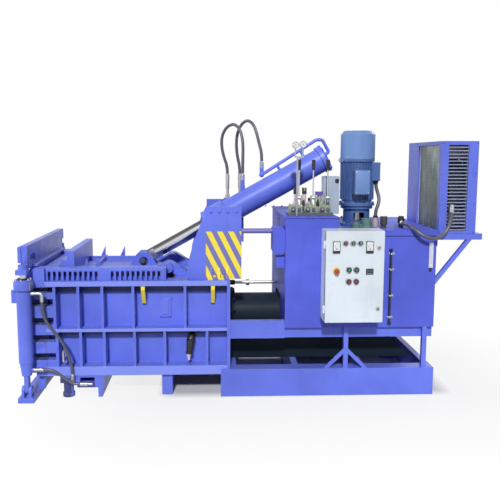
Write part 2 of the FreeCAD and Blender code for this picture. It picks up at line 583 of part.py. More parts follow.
# cheeks that take the cylinder's rod end, with the hole the pin floats in
eye_half = LROD_EYE_W / 2.0 + 4
for s in (-1, 1):
    y0, y1 = (eye_half, eye_half + LUG_T) if s > 0 else (-eye_half - LUG_T, -eye_half)
    ck = plate_y([(LUG_X - 130, lid_top), (LUG_X + 150, lid_top), (LUG_X + 98, LUG_Z + 34),
                  (LUG_X + 52, LUG_Z + 84), (LUG_X - 30, LUG_Z + 84), (LUG_X - 80, LUG_Z + 40)], y0, y1)
    lid.append(ck)
# hinge knuckles on the lid
KN_Y = [(-430.0, -370.0), (-250.0, -190.0), (190.0, 250.0), (370.0, 430.0)]
for a, bb in KN_Y:
    arm = plate_y([(LID_X1 - 120, lid_top), (LID_X1, lid_top), (LID_X1, LID_Z0 + 20), (HINGE_X, HINGE_Z - HINGE_EYE),
                   (HINGE_X, HINGE_Z + HINGE_EYE), (HINGE_X - 30, HINGE_Z + HINGE_EYE - 4)], a, bb)
    lid.append(fuse([arm, cyl((HINGE_X, a, HINGE_Z), (0, 1, 0), HINGE_EYE, bb - a)]))
lid = fuse(lid)
float_hole = cyl((LUG_X + FLOAT_DX, -eye_half - LUG_T - 1, LUG_Z + FLOAT_DZ), (0, 1, 0), LID_PIN_R + FLOAT,
                 2 * (eye_half + LUG_T) + 2)
lid = lid.cut(float_hole)
lid = lid.cut(box(LUG_X - LROD_EYE_R - 16, LUG_X + LROD_EYE_R + 70, -eye_half, eye_half, LID_Z0 + 10, lid_top))
lid = lid.cut(cyl((HINGE_X, -500, HINGE_Z), (0, 1, 0), HINGE_R + PIN_GAP, 1000))
write("lid_plate", lid)

# fixed hinge blocks and pins, standing on the cover plate
hinge = []
hb = []
for a, bb in [(-370.0 + SLIDE_GAP, -250.0 - SLIDE_GAP), (250.0 + SLIDE_GAP, 370.0 - SLIDE_GAP)]:
    blk = plate_y([(COVER_X0 + 10, TOP_SURF), (COVER_X0 + 170, TOP_SURF), (HINGE_X + 40, HINGE_Z + HINGE_EYE),
                   (HINGE_X, HINGE_Z + HINGE_EYE), (HINGE_X, HINGE_Z - HINGE_EYE), (HINGE_X + 30, HINGE_Z - 58)], a, bb)
    blk = fuse([blk, cyl((HINGE_X, a, HINGE_Z), (0, 1, 0), HINGE_EYE, bb - a)])
    mid = (a + bb) / 2.0
    pin = cyl((HINGE_X, mid - 126, HINGE_Z), (0, 1, 0), HINGE_R, 252)
    hb.append(fuse([blk, pin]))
write("lid_hinges", group(hb))

# ================================================================ lid cylinder
def along(t0, r, h):
    return cyl(axis_point(t0), AX, r, h)


body = fuse([along(-LCYL_FRONT + 60, LCYL_R, LCYL_FRONT + LCYL_REAR - 60 - 66),
             along(-LCYL_FRONT, LCYL_R + 8, 60),
             along(-TRUN_RING_W / 2, TRUN_RING_R, TRUN_RING_W),
             along(LCYL_REAR - 66, LCYL_R + 16, 44), along(LCYL_REAR - 22, LCYL_R - 16, 22),
             cyl((HOSE_A_X, 0, HOSE_A_Z), (0, 0, 1), 24, 170), cyl((HOSE_A_X, 0, HOSE_A_Z + 170), (0, 0, 1), 21, 110),
             cyl((TRUN_X, -CHEEK_Y - CHEEK_T + 2, TRUN_Z), (0, 1, 0), TRUN_R, 2 * (CHEEK_Y + CHEEK_T - 2))])
body = body.cut(along(-LCYL_FRONT + 70, LCYL_BORE, LCYL_FRONT + LCYL_REAR - 70 - 70))
body = body.cut(along(-LCYL_FRONT, LROD_R + PIN_GAP, 80))
studs = []
for k in range(10):
    a = 2 * math.pi * k / 10
    c = axis_point(LCYL_REAR - 22)
    r = LCYL_R
    p = (c[0] + r * math.cos(a) * UP[0], r * math.sin(a), c[2] + r * math.cos(a) * UP[2])
    studs.append(cyl(p, AX, 12, 16))
# steel pipe along the top of the barrel, from the hose to the rear face


def bent_pipe(points, r, bend):
    pts = [V(*p) for p in points]
    edges, cur = [], pts[0]
    for i in range(1, len(pts) - 1):
        ua, ub = (pts[i] - pts[i - 1]), (pts[i + 1] - pts[i])
        la, lb = ua.Length, ub.Length
        ua.normalize()
        ub.normalize()
        turn = math.acos(max(-1.0, min(1.0, ua.dot(ub))))
        t = min(bend * math.tan(turn / 2.0), 0.45 * min(la, lb))
        rad = t / math.tan(turn / 2.0)
        p1, p2 = pts[i] - ua * t, pts[i] + ub * t
        bis = ub - ua
        bis.normalize()
        mid = pts[i] + bis * (rad / math.cos(turn / 2.0) - rad)
        edges.append(Part.LineSegment(cur, p1).toShape())
        edges.append(Part.Arc(p1, mid, p2).toShape())
        cur = p2
    edges.append(Part.LineSegment(cur, pts[-1]).toShape())
    wire = Part.Wire(edges)
    d = (pts[1] - pts[0])
    d.normalize()
    return wire.makePipeShell([Part.Wire(Part.makeCircle(r, pts[0], d))], True, False)


HB_DROP, ELBOW_T, ELBOW_UP = 124.0, 573.0, LCYL_R + 42.0
elbow = axis_point(ELBOW_T, 0, ELBOW_UP)
HB_END = (elbow[0], 0.0, elbow[2] + HB_DROP)
PIPE_UP = LCYL_R + 82
pipe_pts = [elbow, axis_point(LCYL_REAR - 4, 0, PIPE_UP), axis_point(LCYL_REAR + 52, 0, PIPE_UP - 30),
            axis_point(LCYL_REAR + 52, 0, 32), axis_point(LCYL_REAR, 0, 32)]
pads = []
for t in (760.0, 1040.0):
    up = ELBOW_UP + (PIPE_UP - ELBOW_UP) * (t - ELBOW_T) / (LCYL_REAR - 4 - ELBOW_T)
    pd = cyl(axis_point(t, 0, LCYL_R - 6), UP, 15, up - LCYL_R + 6)
    pads.append(pd.cut(along(t - 40, LCYL_R, 80)))
pipe_top = fuse([bent_pipe(pipe_pts, PIPE_R, 40), cyl(elbow, (0, 0, 1), 21, HB_DROP),
                 Part.makeSphere(27, V(*elbow))] + pads)
write("lid_barrel", group([fuse([body] + studs), pipe_top]))

# rod with its eye and pin
rod = fuse([along(-reach, LROD_R, reach + 560), cyl((LUG_X, -LROD_EYE_W / 2, LUG_Z), (0, 1, 0), LROD_EYE_R, LROD_EYE_W),
            along(560, LCYL_BORE - GAP, 90)])
keep = box(LUG_X - 4 * LROD_EYE_R, TRUN_X, -LROD_EYE_W / 2, LROD_EYE_W / 2, LUG_Z - 4 * LROD_EYE_R, TRUN_Z)
neck = along(-reach, 200, LROD_NECK).cut(keep)
rod = rod.cut(neck)
pin = cyl((LUG_X, -eye_half - LUG_T - 16, LUG_Z), (0, 1, 0), LID_PIN_R, 2 * (eye_half + LUG_T + 16))
write("lid_rod", fuse([rod, pin]))

# ================================================================ tower
tw = []
outer = plate_y([(TOWER_X0, TOP_SURF), (TOWER_X1, TOP_SURF), (TOWER_X1, TOWER_TOP), (TOWER_X0, TOWER_TOP)],
                -TOWER_Y - TOWER_T, -TOWER_Y)
gus = plate_y([(TOWER_X0, TOP_SURF), (TOWER_X0 - 184, TOP_SURF), (TOWER_X0 - 168, 1300), (TOWER_X0 - 120, 1480),
               (TOWER_X0 - 50, 1660), (TOWER_X0, 1755)], -TOWER_Y - TOWER_T, -TOWER_Y)
footp = box(TOWER_X0 + 20, 40, -TOWER_Y - TOWER_T - 64, -TOWER_Y - TOWER_T, TOP_SURF, TOP_SURF + 26)
stiff = [plate_x([(-TOWER_Y - TOWER_T - 60, TOP_SURF + 26), (-TOWER_Y - TOWER_T, TOP_SURF + 26),
                  (-TOWER_Y - TOWER_T, TOP_SURF + 110)], x, x + 18) for x in (-150.0, -74.0, 2.0)]
side = fuse([outer, gus, footp] + stiff)
foot_bolts = [hexagon((x, -TOWER_Y - TOWER_T - 34, TOP_SURF + 26), (0, 0, 1), 30, 16) for x in (-110.0, -34.0)]
top_bolts = [hexagon((x, -TOWER_Y - TOWER_T, TOWER_TOP - 40), (0, -1, 0), 30, 14) for x in (-140.0, -60.0, 20.0, 100.0)]
write("tower_plates", group(both(fuse([side] + foot_bolts + top_bolts))))

br = [box(TOWER_X0 + 60, TOWER_X1 - 50, -TOWER_Y, TOWER_Y, BRIDGE_Z0, BRIDGE_Z0 + BRIDGE_H)]
for s in (-1, 1):
    y0, y1 = (CHEEK_Y, CHEEK_Y + CHEEK_T) if s > 0 else (-CHEEK_Y - CHEEK_T, -CHEEK_Y)
    ch = plate_y([(TOWER_X0 + 60, BRIDGE_Z0 + BRIDGE_H), (TOWER_X1 - 50, BRIDGE_Z0 + BRIDGE_H),
                  (TRUN_X + 84, TRUN_Z), (TRUN_X - 84, TRUN_Z)], y0, y1)
    ch = fuse([ch, cyl((TRUN_X, y0, TRUN_Z), (0, 1, 0), 84, y1 - y0)])
    br.append(ch.cut(cyl((TRUN_X, y0, TRUN_Z), (0, 1, 0), TRUN_R + PIN_GAP, y1 - y0)))
# cap rail along the tower's tops and the bulkhead bracket for the hoses
br.append(box(HA_X - 40, HB_X + 40, CHEEK_Y + CHEEK_T, CHEEK_Y + CHEEK_T + 16, BRIDGE_Z0 + BRIDGE_H - 20, BULK_Z))
br.append(box(HA_X - 40, HB_X + 40, CHEEK_Y + CHEEK_T, HY + 40, BULK_Z, BULK_Z + 14))
write("tower_bridge", fuse(br))

# ================================================================ power pack
cab = box(CAB_X0, CAB_X1, -OUT_Y, OUT_Y, TANK_Z0, CAB_TOP)
cab_rim = box(CAB_X0 - 10, CAB_X1 + 4, -OUT_Y - 8, OUT_Y + 8, CAB_TOP, CAB_TOP + 12)
side_block = fuse([round_box(CAB_X0 - 118, CAB_X0, -TIE_Y - 60, -TIE_Y + 130, 1372, 1636, 40, "y"),
                   box(CAB_X0 - 80, CAB_X0, -TIE_Y - 30, -TIE_Y + 90, 1240, 1344)])
tunnel = box(CAB_X0 - 20, mcx + MCYL_LEN + 90, -TUNNEL_Y, TUNNEL_Y, TANK_Z0 - 1, TUNNEL_Z)
write("cabinet", fuse([cab, cab_rim, side_block]).cut(tunnel))

tank = box(CAB_X1, TANK_X1, -OUT_Y, OUT_Y, TANK_Z0, TANK_TOP)
top_plate = box(CAB_X1, TANK_X1 + 10, -OUT_Y, OUT_Y, TANK_TOP, TANK_TOP + TANK_LID_T)
write("tank", fuse([tank, top_plate]).cut(tunnel))
PACK_TOP = TANK_TOP + TANK_LID_T

# bell housing, motor, fan cover
mc = (MOTOR_X, MOTOR_Y)
bell = fuse([cyl((mc[0], mc[1], PACK_TOP), (0, 0, 1), 160, 26), cyl((mc[0], mc[1], PACK_TOP + 26), (0, 0, 1), 132, BELL_H - 56),
             cyl((mc[0], mc[1], PACK_TOP + BELL_H - 30), (0, 0, 1), 158, 30)])
bell = bell.cut(cyl((mc[0], mc[1], PACK_TOP + 10), (0, 0, 1), 96, BELL_H - 10))
window = round_box(mc[0] - 55, mc[0] + 55, mc[1] - 200, mc[1] - 60, PACK_TOP + 56, PACK_TOP + 140, 20, "y")
write("bell_housing", bell.cut(window))
mz = PACK_TOP + BELL_H
core_m = cyl((mc[0], mc[1], mz), (0, 0, 1), MOTOR_R, MOTOR_H)
fl = cyl((mc[0], mc[1], mz), (0, 0, 1), 176, 28)
fins = []
N_FIN = 36
for k in range(N_FIN):
    a = 2 * math.pi * k / N_FIN
    f = box(MOTOR_R - 6, FIN_R, -3, 3, mz + 60, mz + MOTOR_H - 30)
    f.rotate(V(0, 0, 0), V(0, 0, 1), math.degrees(a))
    f.translate(V(mc[0], mc[1], 0))
    fins.append(f)
tbox = round_box(mc[0] - 83, mc[0] + 69, mc[1] - 262, mc[1] - MOTOR_R + 30, mz + 117, mz + 358, 14, "y")
tside = round_box(mc[0] + MOTOR_R - 30, mc[0] + SIDE_BOX_X, mc[1] - 110, mc[1] + 10, mz + SIDE_BOX_Z, mz + 430, 12, "x")
end_shield = cyl((mc[0], mc[1], mz + MOTOR_H - 26), (0, 0, 1), FIN_R + 2, 26)
motor = fuse([core_m, fl, end_shield] + fins + [tbox, tside])
motor = motor.cut(cyl((mc[0], mc[1], mz), (0, 0, 1), 30 + GAP, MOTOR_H + 10))
write("motor_body", motor)
cz = mz + MOTOR_H
cowl = fuse([cyl((mc[0], mc[1], cz), (0, 0, 1), FIN_R + 2, COWL_H - 36),
             cone((mc[0], mc[1], cz + COWL_H - 36), (0, 0, 1), FIN_R + 2, FIN_R - 28, 36)])
cowl = cowl.cut(cyl((mc[0], mc[1], cz), (0, 0, 1), FIN_R - 6, COWL_H - 44))
vent = [tube((mc[0], mc[1], cz + COWL_H - 46), (0, 0, 1), r, r - 9, 50) for r in (50.0, 72.0, 94.0, 116.0)]
bars = [box(mc[0] - 130, mc[0] + 130, mc[1] - 6, mc[1] + 6, cz + COWL_H - 50, cz + COWL_H + 10),
        box(mc[0] - 6, mc[0] + 6, mc[1] - 130, mc[1] + 130, cz + COWL_H - 50, cz + COWL_H + 10)]
vents = Part.makeCompound(vent).cut(group(bars))
write("fan_cover", cowl.cut(vents))
# rotor: shaft through the motor with the fan on top
blades = []
for k in range(7):
    bl = box(34, FIN_R - 24, -4, 4, cz + 40, cz + 150)
    bl.rotate(V(0, 0, 0), V(0, 0, 1), 360.0 * k / 7)
    bl.translate(V(mc[0], mc[1], 0))
    blades.append(bl)
hub = cyl((mc[0], mc[1], cz + 30), (0, 0, 1), 44, 130)
disc = cyl((mc[0], mc[1], cz + 24), (0, 0, 1), FIN_R - 24, 8)
rotor = fuse([cyl((mc[0], mc[1], PACK_TOP + 20), (0, 0, 1), 30, cz + 150 - PACK_TOP - 20), hub, disc] + blades
             + [cyl((mc[0], mc[1], PACK_TOP + 60), (0, 0, 1), 62, 100)])
write("motor_rotor", rotor)

# pump beside the bell housing, valve block and its lines
pump = fuse([cyl((mc[0] + 40, mc[1] - 250, PACK_TOP), (0, 0, 1), 62, 24), cyl((mc[0] + 40, mc[1] - 250, PACK_TOP + 24), (0, 0, 1), 50, 70),
             cyl((mc[0] - 60, mc[1] - 250, PACK_TOP), (0, 0, 1), 46, 52), box(mc[0] - 60, mc[0] + 40, mc[1] - 276, mc[1] - 224, PACK_TOP, PACK_TOP + 40)])
write("suction_block", pump)

# isolator housing behind the motor, on the cabinet
iso = round_box(972, 1128, -322, -200, CAB_TOP + 12, CAB_TOP + 384, 10, "y")
knob = cyl((1103, -338, CAB_TOP + 340), (0, 1, 0), 20, 16)
write("isolator_box", fuse([iso, knob]))

# ================================================================ valves
VY = -430.0
VALVE_X0, VALVE_PITCH = 712.0, 139.5
VALVES = [VALVE_X0 + k * VALVE_PITCH for k in range(3)]
BODY_L, BODY_R, BODY_H = 95.0, 28.0, 96.0    # a valve body, left and right of its lever, and its height
RELIEF_X = VALVES[1] + 57.5
VB_Z = CAB_TOP + 12
SEAT_Z = VB_Z + BODY_H
vparts = [box(VALVES[0] - BODY_L - 14, VALVES[2] + BODY_R + 14, VY - 76, VY + 96, VB_Z, VB_Z + 30),
          box(RELIEF_X - 26, RELIEF_X + 26, VY - 34, VY + 34, VB_Z + 30, VB_Z + 128)]
for x in VALVES:
    vbody = round_box(x - BODY_L, x + BODY_R, VY - 60, VY + 80, VB_Z + 30, SEAT_Z, 22, "y")
    vparts.append(vbody)
    vparts.append(cyl((x - 62, VY - 60 - 24, VB_Z + 62), (0, 1, 0), 24, 24))
    vparts.append(hexagon((x - 62, VY - 60 - 24, VB_Z + 62), (0, -1, 0), 30, 12))
    vparts.append(cyl((x - 4, VY - 60 - 16, VB_Z + 60), (0, 1, 0), 18, 16))
    # clevis that carries the lever
    for s in (-1, 1):
        vparts.append(box(x + s * 22 - 6, x + s * 22 + 6, VY - 20, VY + 20, SEAT_Z, VB_Z + 190))
vblock = fuse(vparts)
PIV_Z = VB_Z + 168.0
for x in VALVES:
    vblock = vblock.cut(cyl((x - 40, VY, PIV_Z), (1, 0, 0), 7 + PIN_GAP, 80))
caps = []
for x, y, h, r in [(VALVES[0] - 23, VY + 52, 138, 17), (VALVES[1] - 80, VY + 42, 138, 14), (VALVES[1] - 23, VY + 54, 40, 16)]:
    caps.append(fuse([cyl((x, y, SEAT_Z), (0, 0, 1), r, h), cyl((x, y, SEAT_Z + h), (0, 0, 1), r + 5, 26)]))
for i, x in enumerate(VALVES):
    shaft = cyl((x - 28 - 6, VY, PIV_Z), (1, 0, 0), 7, 68)
    boss = cyl((x - 15.5, VY, PIV_Z), (1, 0, 0), 17, 31)
    stem = cyl((x, VY, PIV_Z + 10), (0, 0, 1), 7, 300)
    grip = fuse([cone((x, VY, PIV_Z + 268), (0, 0, 1), 15, 18, 84), cyl((x, VY, PIV_Z + 352), (0, 0, 1), 18, 14)])
    write("lever_%d" % (i + 1), fuse([shaft, boss, stem, grip]))
# relief valve knob
kx, kz = RELIEF_X, VB_Z + 128
relief = fuse([cyl((kx, VY, kz + 40), (0, 0, 1), 12, 26), cyl((kx, VY, kz + 66), (0, 0, 1), 30, 34)]
              + [cyl((kx + 30 * math.cos(a), VY + 30 * math.sin(a), kz + 66), (0, 0, 1), 10, 34)
                 for a in [k * math.pi / 3 for k in range(6)]])
relief_seat = tube((kx, VY, kz), (0, 0, 1), 22, 12 + PIN_GAP, 62)
write("relief_knob", relief)
# two pressure gauges on a forked tube
gz = VB_Z + 678.0
GT_X, GA_X, GB_X = VALVES[0] - 32, VALVES[0] - 53, VALVES[0] + 18
gt = [cyl((GT_X, VY - 110, VB_Z), (0, 0, 1), 8, gz - 120 - VB_Z)]
gauge = []
for gx, gzz in ((GA_X, gz - 6), (GB_X, gz)):
    gauge.append(cyl((gx, VY - 128, gzz), (0, 1, 0), 32, 34))
    gauge.append(cyl((gx, VY - 134, gzz), (0, 1, 0), 27, 6))
arm = [box(GA_X - 8, GB_X + 8, VY - 118, VY - 102, gz - 126, gz - 110)]
arm += [cyl((x, VY - 110, gz - 110), (0, 0, 1), 7, 80) for x in (GA_X, GB_X)]
write("gauges", fuse(gt + arm + gauge))
write("valve_bank", fuse([vblock, relief_seat] + caps))

# ================================================================ pipes
tie = cyl((TOWER_X1, -TIE_Y, TIE_Z), (1, 0, 0), 24, CAB_X0 - 118 - TOWER_X1)
PP_Y, PP_Z = 120.0, 960.0
line = fuse([cyl((BOX_X1, PP_Y, PP_Z), (1, 0, 0), 16, CAB_X0 - BOX_X1), cyl((BOX_X1, PP_Y, PP_Z), (1, 0, 0), 27, 70),
             cyl((232, PP_Y, PP_Z), (1, 0, 0), 33, 34)])
write("pressure_pipe", group([tie, line]))

# ================================================================ tank fittings and level gauge
TF_Y = -420.0
COND_END = (1493.0, -330.0)
filler = fuse([cyl((1722, TF_Y - 54, 1655), (0, 1, 0), 20, 40), cyl((1722, TF_Y, PACK_TOP), (0, 0, 1), 22, 44), cyl((1722, TF_Y, PACK_TOP + 44), (0, 0, 1), 32, 52),
               cyl((1722, TF_Y, PACK_TOP + 96), (0, 0, 1), 26, 16)])
breather = fuse([cyl((1552, TF_Y, PACK_TOP), (0, 0, 1), 26, 30), cyl((1552, TF_Y, PACK_TOP + 30), (0, 0, 1), 34, 80)])
gland = fuse([cyl((COND_END[0], COND_END[1], PACK_TOP), (0, 0, 1), 38, 56), cyl((COND_END[0], COND_END[1], PACK_TOP + 56), (0, 0, 1), 30, GLAND_H - 56)])
LG_X, LG_Z0, LG_Z1 = TANK_X1 - 53.0, TANK_TOP - 305.0, TANK_TOP - 61.0
lg = fuse([box(LG_X - 20, LG_X + 20, -OUT_Y - 16, -OUT_Y, LG_Z0, LG_Z1)]
          + [cyl((LG_X, -OUT_Y - 26, z), (0, 1, 0), 14, 10) for z in (LG_Z0 + 18, LG_Z1 - 18)])
write("tank_fittings", group([filler, breather, gland, lg]))

# ================================================================ cooler
P = COOL_POST
posts = [box(x, x + (70 if x < COOL_X0 + 5 else P), y, y + 62, COOL_Z0 + 24, COOL_Z1 - 36)
         for x in (COOL_X0, COOL_X1 - P) for y in (-OUT_Y, COOL_Y1 - 62)]
roof = box(COOL_X0, COOL_X1, -OUT_Y, COOL_Y1, COOL_Z1 - 36, COOL_Z1)
sill_c = [box(COOL_X0, COOL_X1, -OUT_Y, COOL_Y1, COOL_Z0, COOL_Z0 + 24)]
cool_back = box(COOL_X0, COOL_X0 + 20, 0, COOL_Y1 - 62, COOL_Z0 + 24, COOL_Z1 - 36)
FAN_Y, FAN_Z, FAN_R = -170.0, 2000.0, 265.0
shroud = box(COOL_X1 - 20, COOL_X1, -OUT_Y + 62, COOL_Y1 - 62, COOL_Z0 + 24, COOL_Z1 - 36)
shroud = shroud.cut(cyl((COOL_X1 - 21, FAN_Y, FAN_Z), (1, 0, 0), FAN_R + 12, 22))
spider = [box(COOL_X1 - 16, COOL_X1 - 4, FAN_Y - FAN_R - 14, FAN_Y + FAN_R + 14, FAN_Z - 12, FAN_Z + 12),
          box(COOL_X1 - 16, COOL_X1 - 4, FAN_Y - 12, FAN_Y + 12, FAN_Z - FAN_R - 14, FAN_Z + FAN_R + 14),
          cyl((COOL_X1 - 16, FAN_Y, FAN_Z), (1, 0, 0), 74, 12)]
n_ring = 6
ring_step = (FAN_R - 74) / n_ring
spider += [tube((COOL_X1 - 16, FAN_Y, FAN_Z), (1, 0, 0), 74 + (k + 1) * ring_step, 67 + (k + 1) * ring_step, 12)
           for k in range(n_ring)]
cool_motor = cyl((COOL_X1 - 110, FAN_Y, FAN_Z), (1, 0, 0), 62, 94)
fan_plate = fuse([shroud] + spider + [cool_motor])
fan_plate = fan_plate.cut(cyl((COOL_X1 - 110, FAN_Y, FAN_Z), (1, 0, 0), 12 + PIN_GAP, 80))
write("cooler_frame", group(posts + [roof] + sill_c + [cool_back, fan_plate]))
fb = []
n_blade = 6
for k in range(n_blade):
    bl = plate_y([(-24, 40), (24, 40), (62, FAN_R - 16), (-62, FAN_R - 16)], -3, 3)
    bl.rotate(V(0, 0, 0), V(0, 0, 1), 58)
    bl.rotate(V(0, 0, 0), V(1, 0, 0), 360.0 * k / n_blade)
    bl.translate(V(COOL_X1 - 150, FAN_Y, FAN_Z))
    fb.append(bl)
write("cooler_fan", fuse([cyl((COOL_X1 - 176, FAN_Y, FAN_Z), (1, 0, 0), 56, 56),
                          cyl((COOL_X1 - 122, FAN_Y, FAN_Z), (1, 0, 0), 12, 84)] + fb))
cxa, cxb = COOL_X0 + 70, COOL_X1 - P
core = box(cxa - 50, cxa - 6, -OUT_Y + 66, -6, COOL_Z0 + 24, COOL_Z1 - 36)
write("cooler_core", core)
N_SLAT = 25
slat_pitch = (COOL_Z1 - 36 - COOL_Z0 - 24) / N_SLAT
slats = [box(cxa, cxb, -OUT_Y + 16, -OUT_Y + 52, COOL_Z0 + 30 + k * slat_pitch, COOL_Z0 + 40 + k * slat_pitch)
         for k in range(N_SLAT)]
write("cooler_grille", group(slats))
plat = [box(TANK_X1 + 10, PLAT_X1, -OUT_Y + 4, COOL_Y1 + 20, COOL_Z0 - PLAT_T, COOL_Z0)]
plat = [box(TANK_X1, TANK_X1 + 10, -OUT_Y + 4, COOL_Y1 + 20, COOL_Z0 - PLAT_T - 60, TANK_TOP)] + plat
for y in (-OUT_Y + 4, COOL_Y1 - 24):
    plat.append(plate_y([(BRACE_X, COOL_Z0 - PLAT_T), (BRACE_X - 48, COOL_Z0 - PLAT_T), (TANK_X1, BRACE_Z + 60), (TANK_X1, BRACE_Z)], y, y + 40))
write("cooler_platform", fuse(plat))

# ================================================================ control panel
py0, py1 = -OUT_Y - PANEL_D, -OUT_Y
case = box(PANEL_X0, PANEL_X1, py0, py1, PANEL_Z0, PANEL_Z1)
case = case.cut(box(PANEL_X0 + 6, PANEL_X1 - 6, py0, py1 - 6, PANEL_Z0 + 6, PANEL_Z1 - 6))
plate_in = box(PANEL_X0 + 40, PANEL_X1 - 40, py1 - 26, py1 - 6, PANEL_Z0 + 40, PANEL_Z1 - 40)
pd0 = py0 - PANEL_DOOR_T
PH_X, PH_Y, PH_R = PANEL_X0 - 11, py0 - 12, 5.0
hin, knuckles = [], []
for z in (PANEL_Z0 + 90, PANEL_Z1 - 160):
    hin += [box(PH_X - 3, PANEL_X0, PH_Y, py0 + 20, z, z + 34), cyl((PH_X, PH_Y, z), (0, 0, 1), 9, 34),
            cyl((PH_X, PH_Y, z), (0, 0, 1), PH_R, 70)]
    knuckles += [box(PH_X, PANEL_X0 + 6, PH_Y - 9, PH_Y, z + 35, z + 70), cyl((PH_X, PH_Y, z + 35), (0, 0, 1), 9, 35)]
write("panel_case", fuse([case, plate_in] + hin))
pdoor = fuse([round_box(PANEL_X0, PANEL_X1, pd0, py0 - SLIDE_GAP, PANEL_Z0, PANEL_Z1, 8, "y")] + knuckles)
pdoor = pdoor.cut(cyl((PH_X, PH_Y, PANEL_Z0), (0, 0, 1), PH_R + PIN_GAP, PANEL_Z1 - PANEL_Z0))
BTN = [(0.399, 0.581), (0.526, 0.581), (0.399, 0.453), (0.526, 0.453)]
LAMP = [(0.334, 0.868), (0.463, 0.868), (0.586, 0.868)]
METER = [(0.179, 0.825), (0.746, 0.825)]
ESTOP = (0.185, 0.567)
DISPLAY = (0.754, 0.561)
LOCKS = [(0.907, 0.819), (0.91, 0.153)]


def on_panel(u, v):
    return PANEL_X0 + u * (PANEL_X1 - PANEL_X0), PANEL_Z0 + v * (PANEL_Z1 - PANEL_Z0)


holes = []
BTN_R = 14.0
for u, v in BTN + [ESTOP]:
    bx, bz = on_panel(u, v)
    holes.append(cyl((bx, pd0 - 1, bz), (0, 1, 0), BTN_R + PIN_GAP, 40))
pdoor = pdoor.cut(group(holes))
trim = []
for u, v in METER:
    bx, bz = on_panel(u, v)
    trim.append(box(bx - 34, bx + 34, pd0 - 12, pd0, bz - 54, bz + 54))
for u, v in LAMP:
    bx, bz = on_panel(u, v)
    trim.append(fuse([cyl((bx, pd0 - 6, bz), (0, 1, 0), 24, 6), cone((bx, pd0 - 24, bz), (0, 1, 0), 14, 20, 18)]))
bx, bz = on_panel(*DISPLAY)
trim.append(box(bx - 34, bx + 34, pd0 - 8, pd0, bz - 26, bz + 26))
for u, v in LOCKS:
    bx, bz = on_panel(u, v)
    trim.append(cyl((bx, pd0 - 8, bz), (0, 1, 0), 16, 8))
write("panel_door", pdoor)
write("panel_trim", group(trim))
BTN_NAMES = ["button_green_left", "button_green_right", "button_red_left", "button_red_right"]
for (u, v), nm in zip(BTN, BTN_NAMES):
    bx, bz = on_panel(u, v)
    write(nm, fuse([cyl((bx, pd0 - 22, bz), (0, 1, 0), BTN_R + 8, 12), cyl((bx, pd0 - 10, bz), (0, 1, 0), BTN_R, 38)]))
bx, bz = on_panel(*ESTOP)
write("e_stop", fuse([cone((bx, pd0 - 42, bz), (0, 1, 0), 22, 26, 22), cyl((bx, pd0 - 20, bz), (0, 1, 0), BTN_R, 48)]))

# ================================================================ hoses
# Free hoses as straight runs joined by tangent arcs; each end meets its ferrule square.
FZ = PACK_TOP
HOSE_A = [(HA_X, HY, LID_HOSE_Z), (HA_X, HY, 2190), (0, 235, 2290), (-26, 226, 2400), (-24, 212, 2510), (22, 172, 2604),
          (98, 108, 2640), (162, 54, 2584), (186, 24, 2484), (192, 10, 2388), (190, 2, 2294), (HOSE_A_X, 0, 2202),
          (HOSE_A_X, 0, HOSE_A_Z + 280)]
HOSE_B = [(HB_X, HY, LID_HOSE_Z), (HB_X, HY, 2190), (142, 234, 2300), (130, 224, 2420), (138, 208, 2540), (182, 172, 2640),
          (246, 114, 2678), (306, 66, 2626), (336, 36, 2530), (358, 18, 2430), (HB_END[0], 0, 2336), HB_END]
DY = -DCYL_Y                 # the door hoses run level with their cylinder
HOSE_C = [(-1714, DY, 958), (-1714, DY, 885), (-1698, DY, 805), (-1658, DY, 728), (-1604, -718, 656), (-1552, -712, 584),
          (-1514, -703, 506), (-1490, -692, 424), (-1474, -682, 344), (-1464, -676, 290), (-1464, -676, 240)]
HOSE_D = [(-1722, DY, LOW_PORT_Z), (-1668, DY, LOW_PORT_Z), (-1618, DY, 287), (-1572, DY, 254), (-1526, DY, 216),
          (-1478, DY, 182), (-1430, DY, 160), (-1382, DY, 160)]
HOSE_COOL = [(1722, TF_Y - 54, 1655), (1722, TF_Y - 130, 1655), (1738, TF_Y - 208, 1650), (1768, -694, 1622),
             (1818, -730, 1578), (1882, -744, 1546), (1952, -742, 1536), (2018, -730, 1560), (2068, -714, 1608),
             (2100, -704, 1668), (2112, -700, 1730), (2112, -700, FITTING_Z)]
COND_TOP = MOTOR_X + SIDE_BOX_X - 24.0
CONDUIT = [(COND_TOP, -262, mz + SIDE_BOX_Z), (COND_TOP, -262, mz + SIDE_BOX_Z - 58), (1526, -280, 1932), (1534, -300, 1874),
           (1519, -318, 1820), (COND_END[0], COND_END[1], FZ + GLAND_H + 64), (COND_END[0], COND_END[1], FZ + GLAND_H)]
write("hose_lid_a", hose(HOSE_A, 16.0, "hose_lid_a"))
write("hose_lid_b", hose(HOSE_B, 16.0, "hose_lid_b"))
write("hose_door_upper", hose(HOSE_C, 14.0, "hose_door_upper"))
write("hose_door_lower", hose(HOSE_D, 14.0, "hose_door_lower"))
write("hose_cooler", hose(HOSE_COOL, 16.5, "hose_cooler"))
write("motor_conduit", hose(CONDUIT, 17.0, "motor_conduit"))

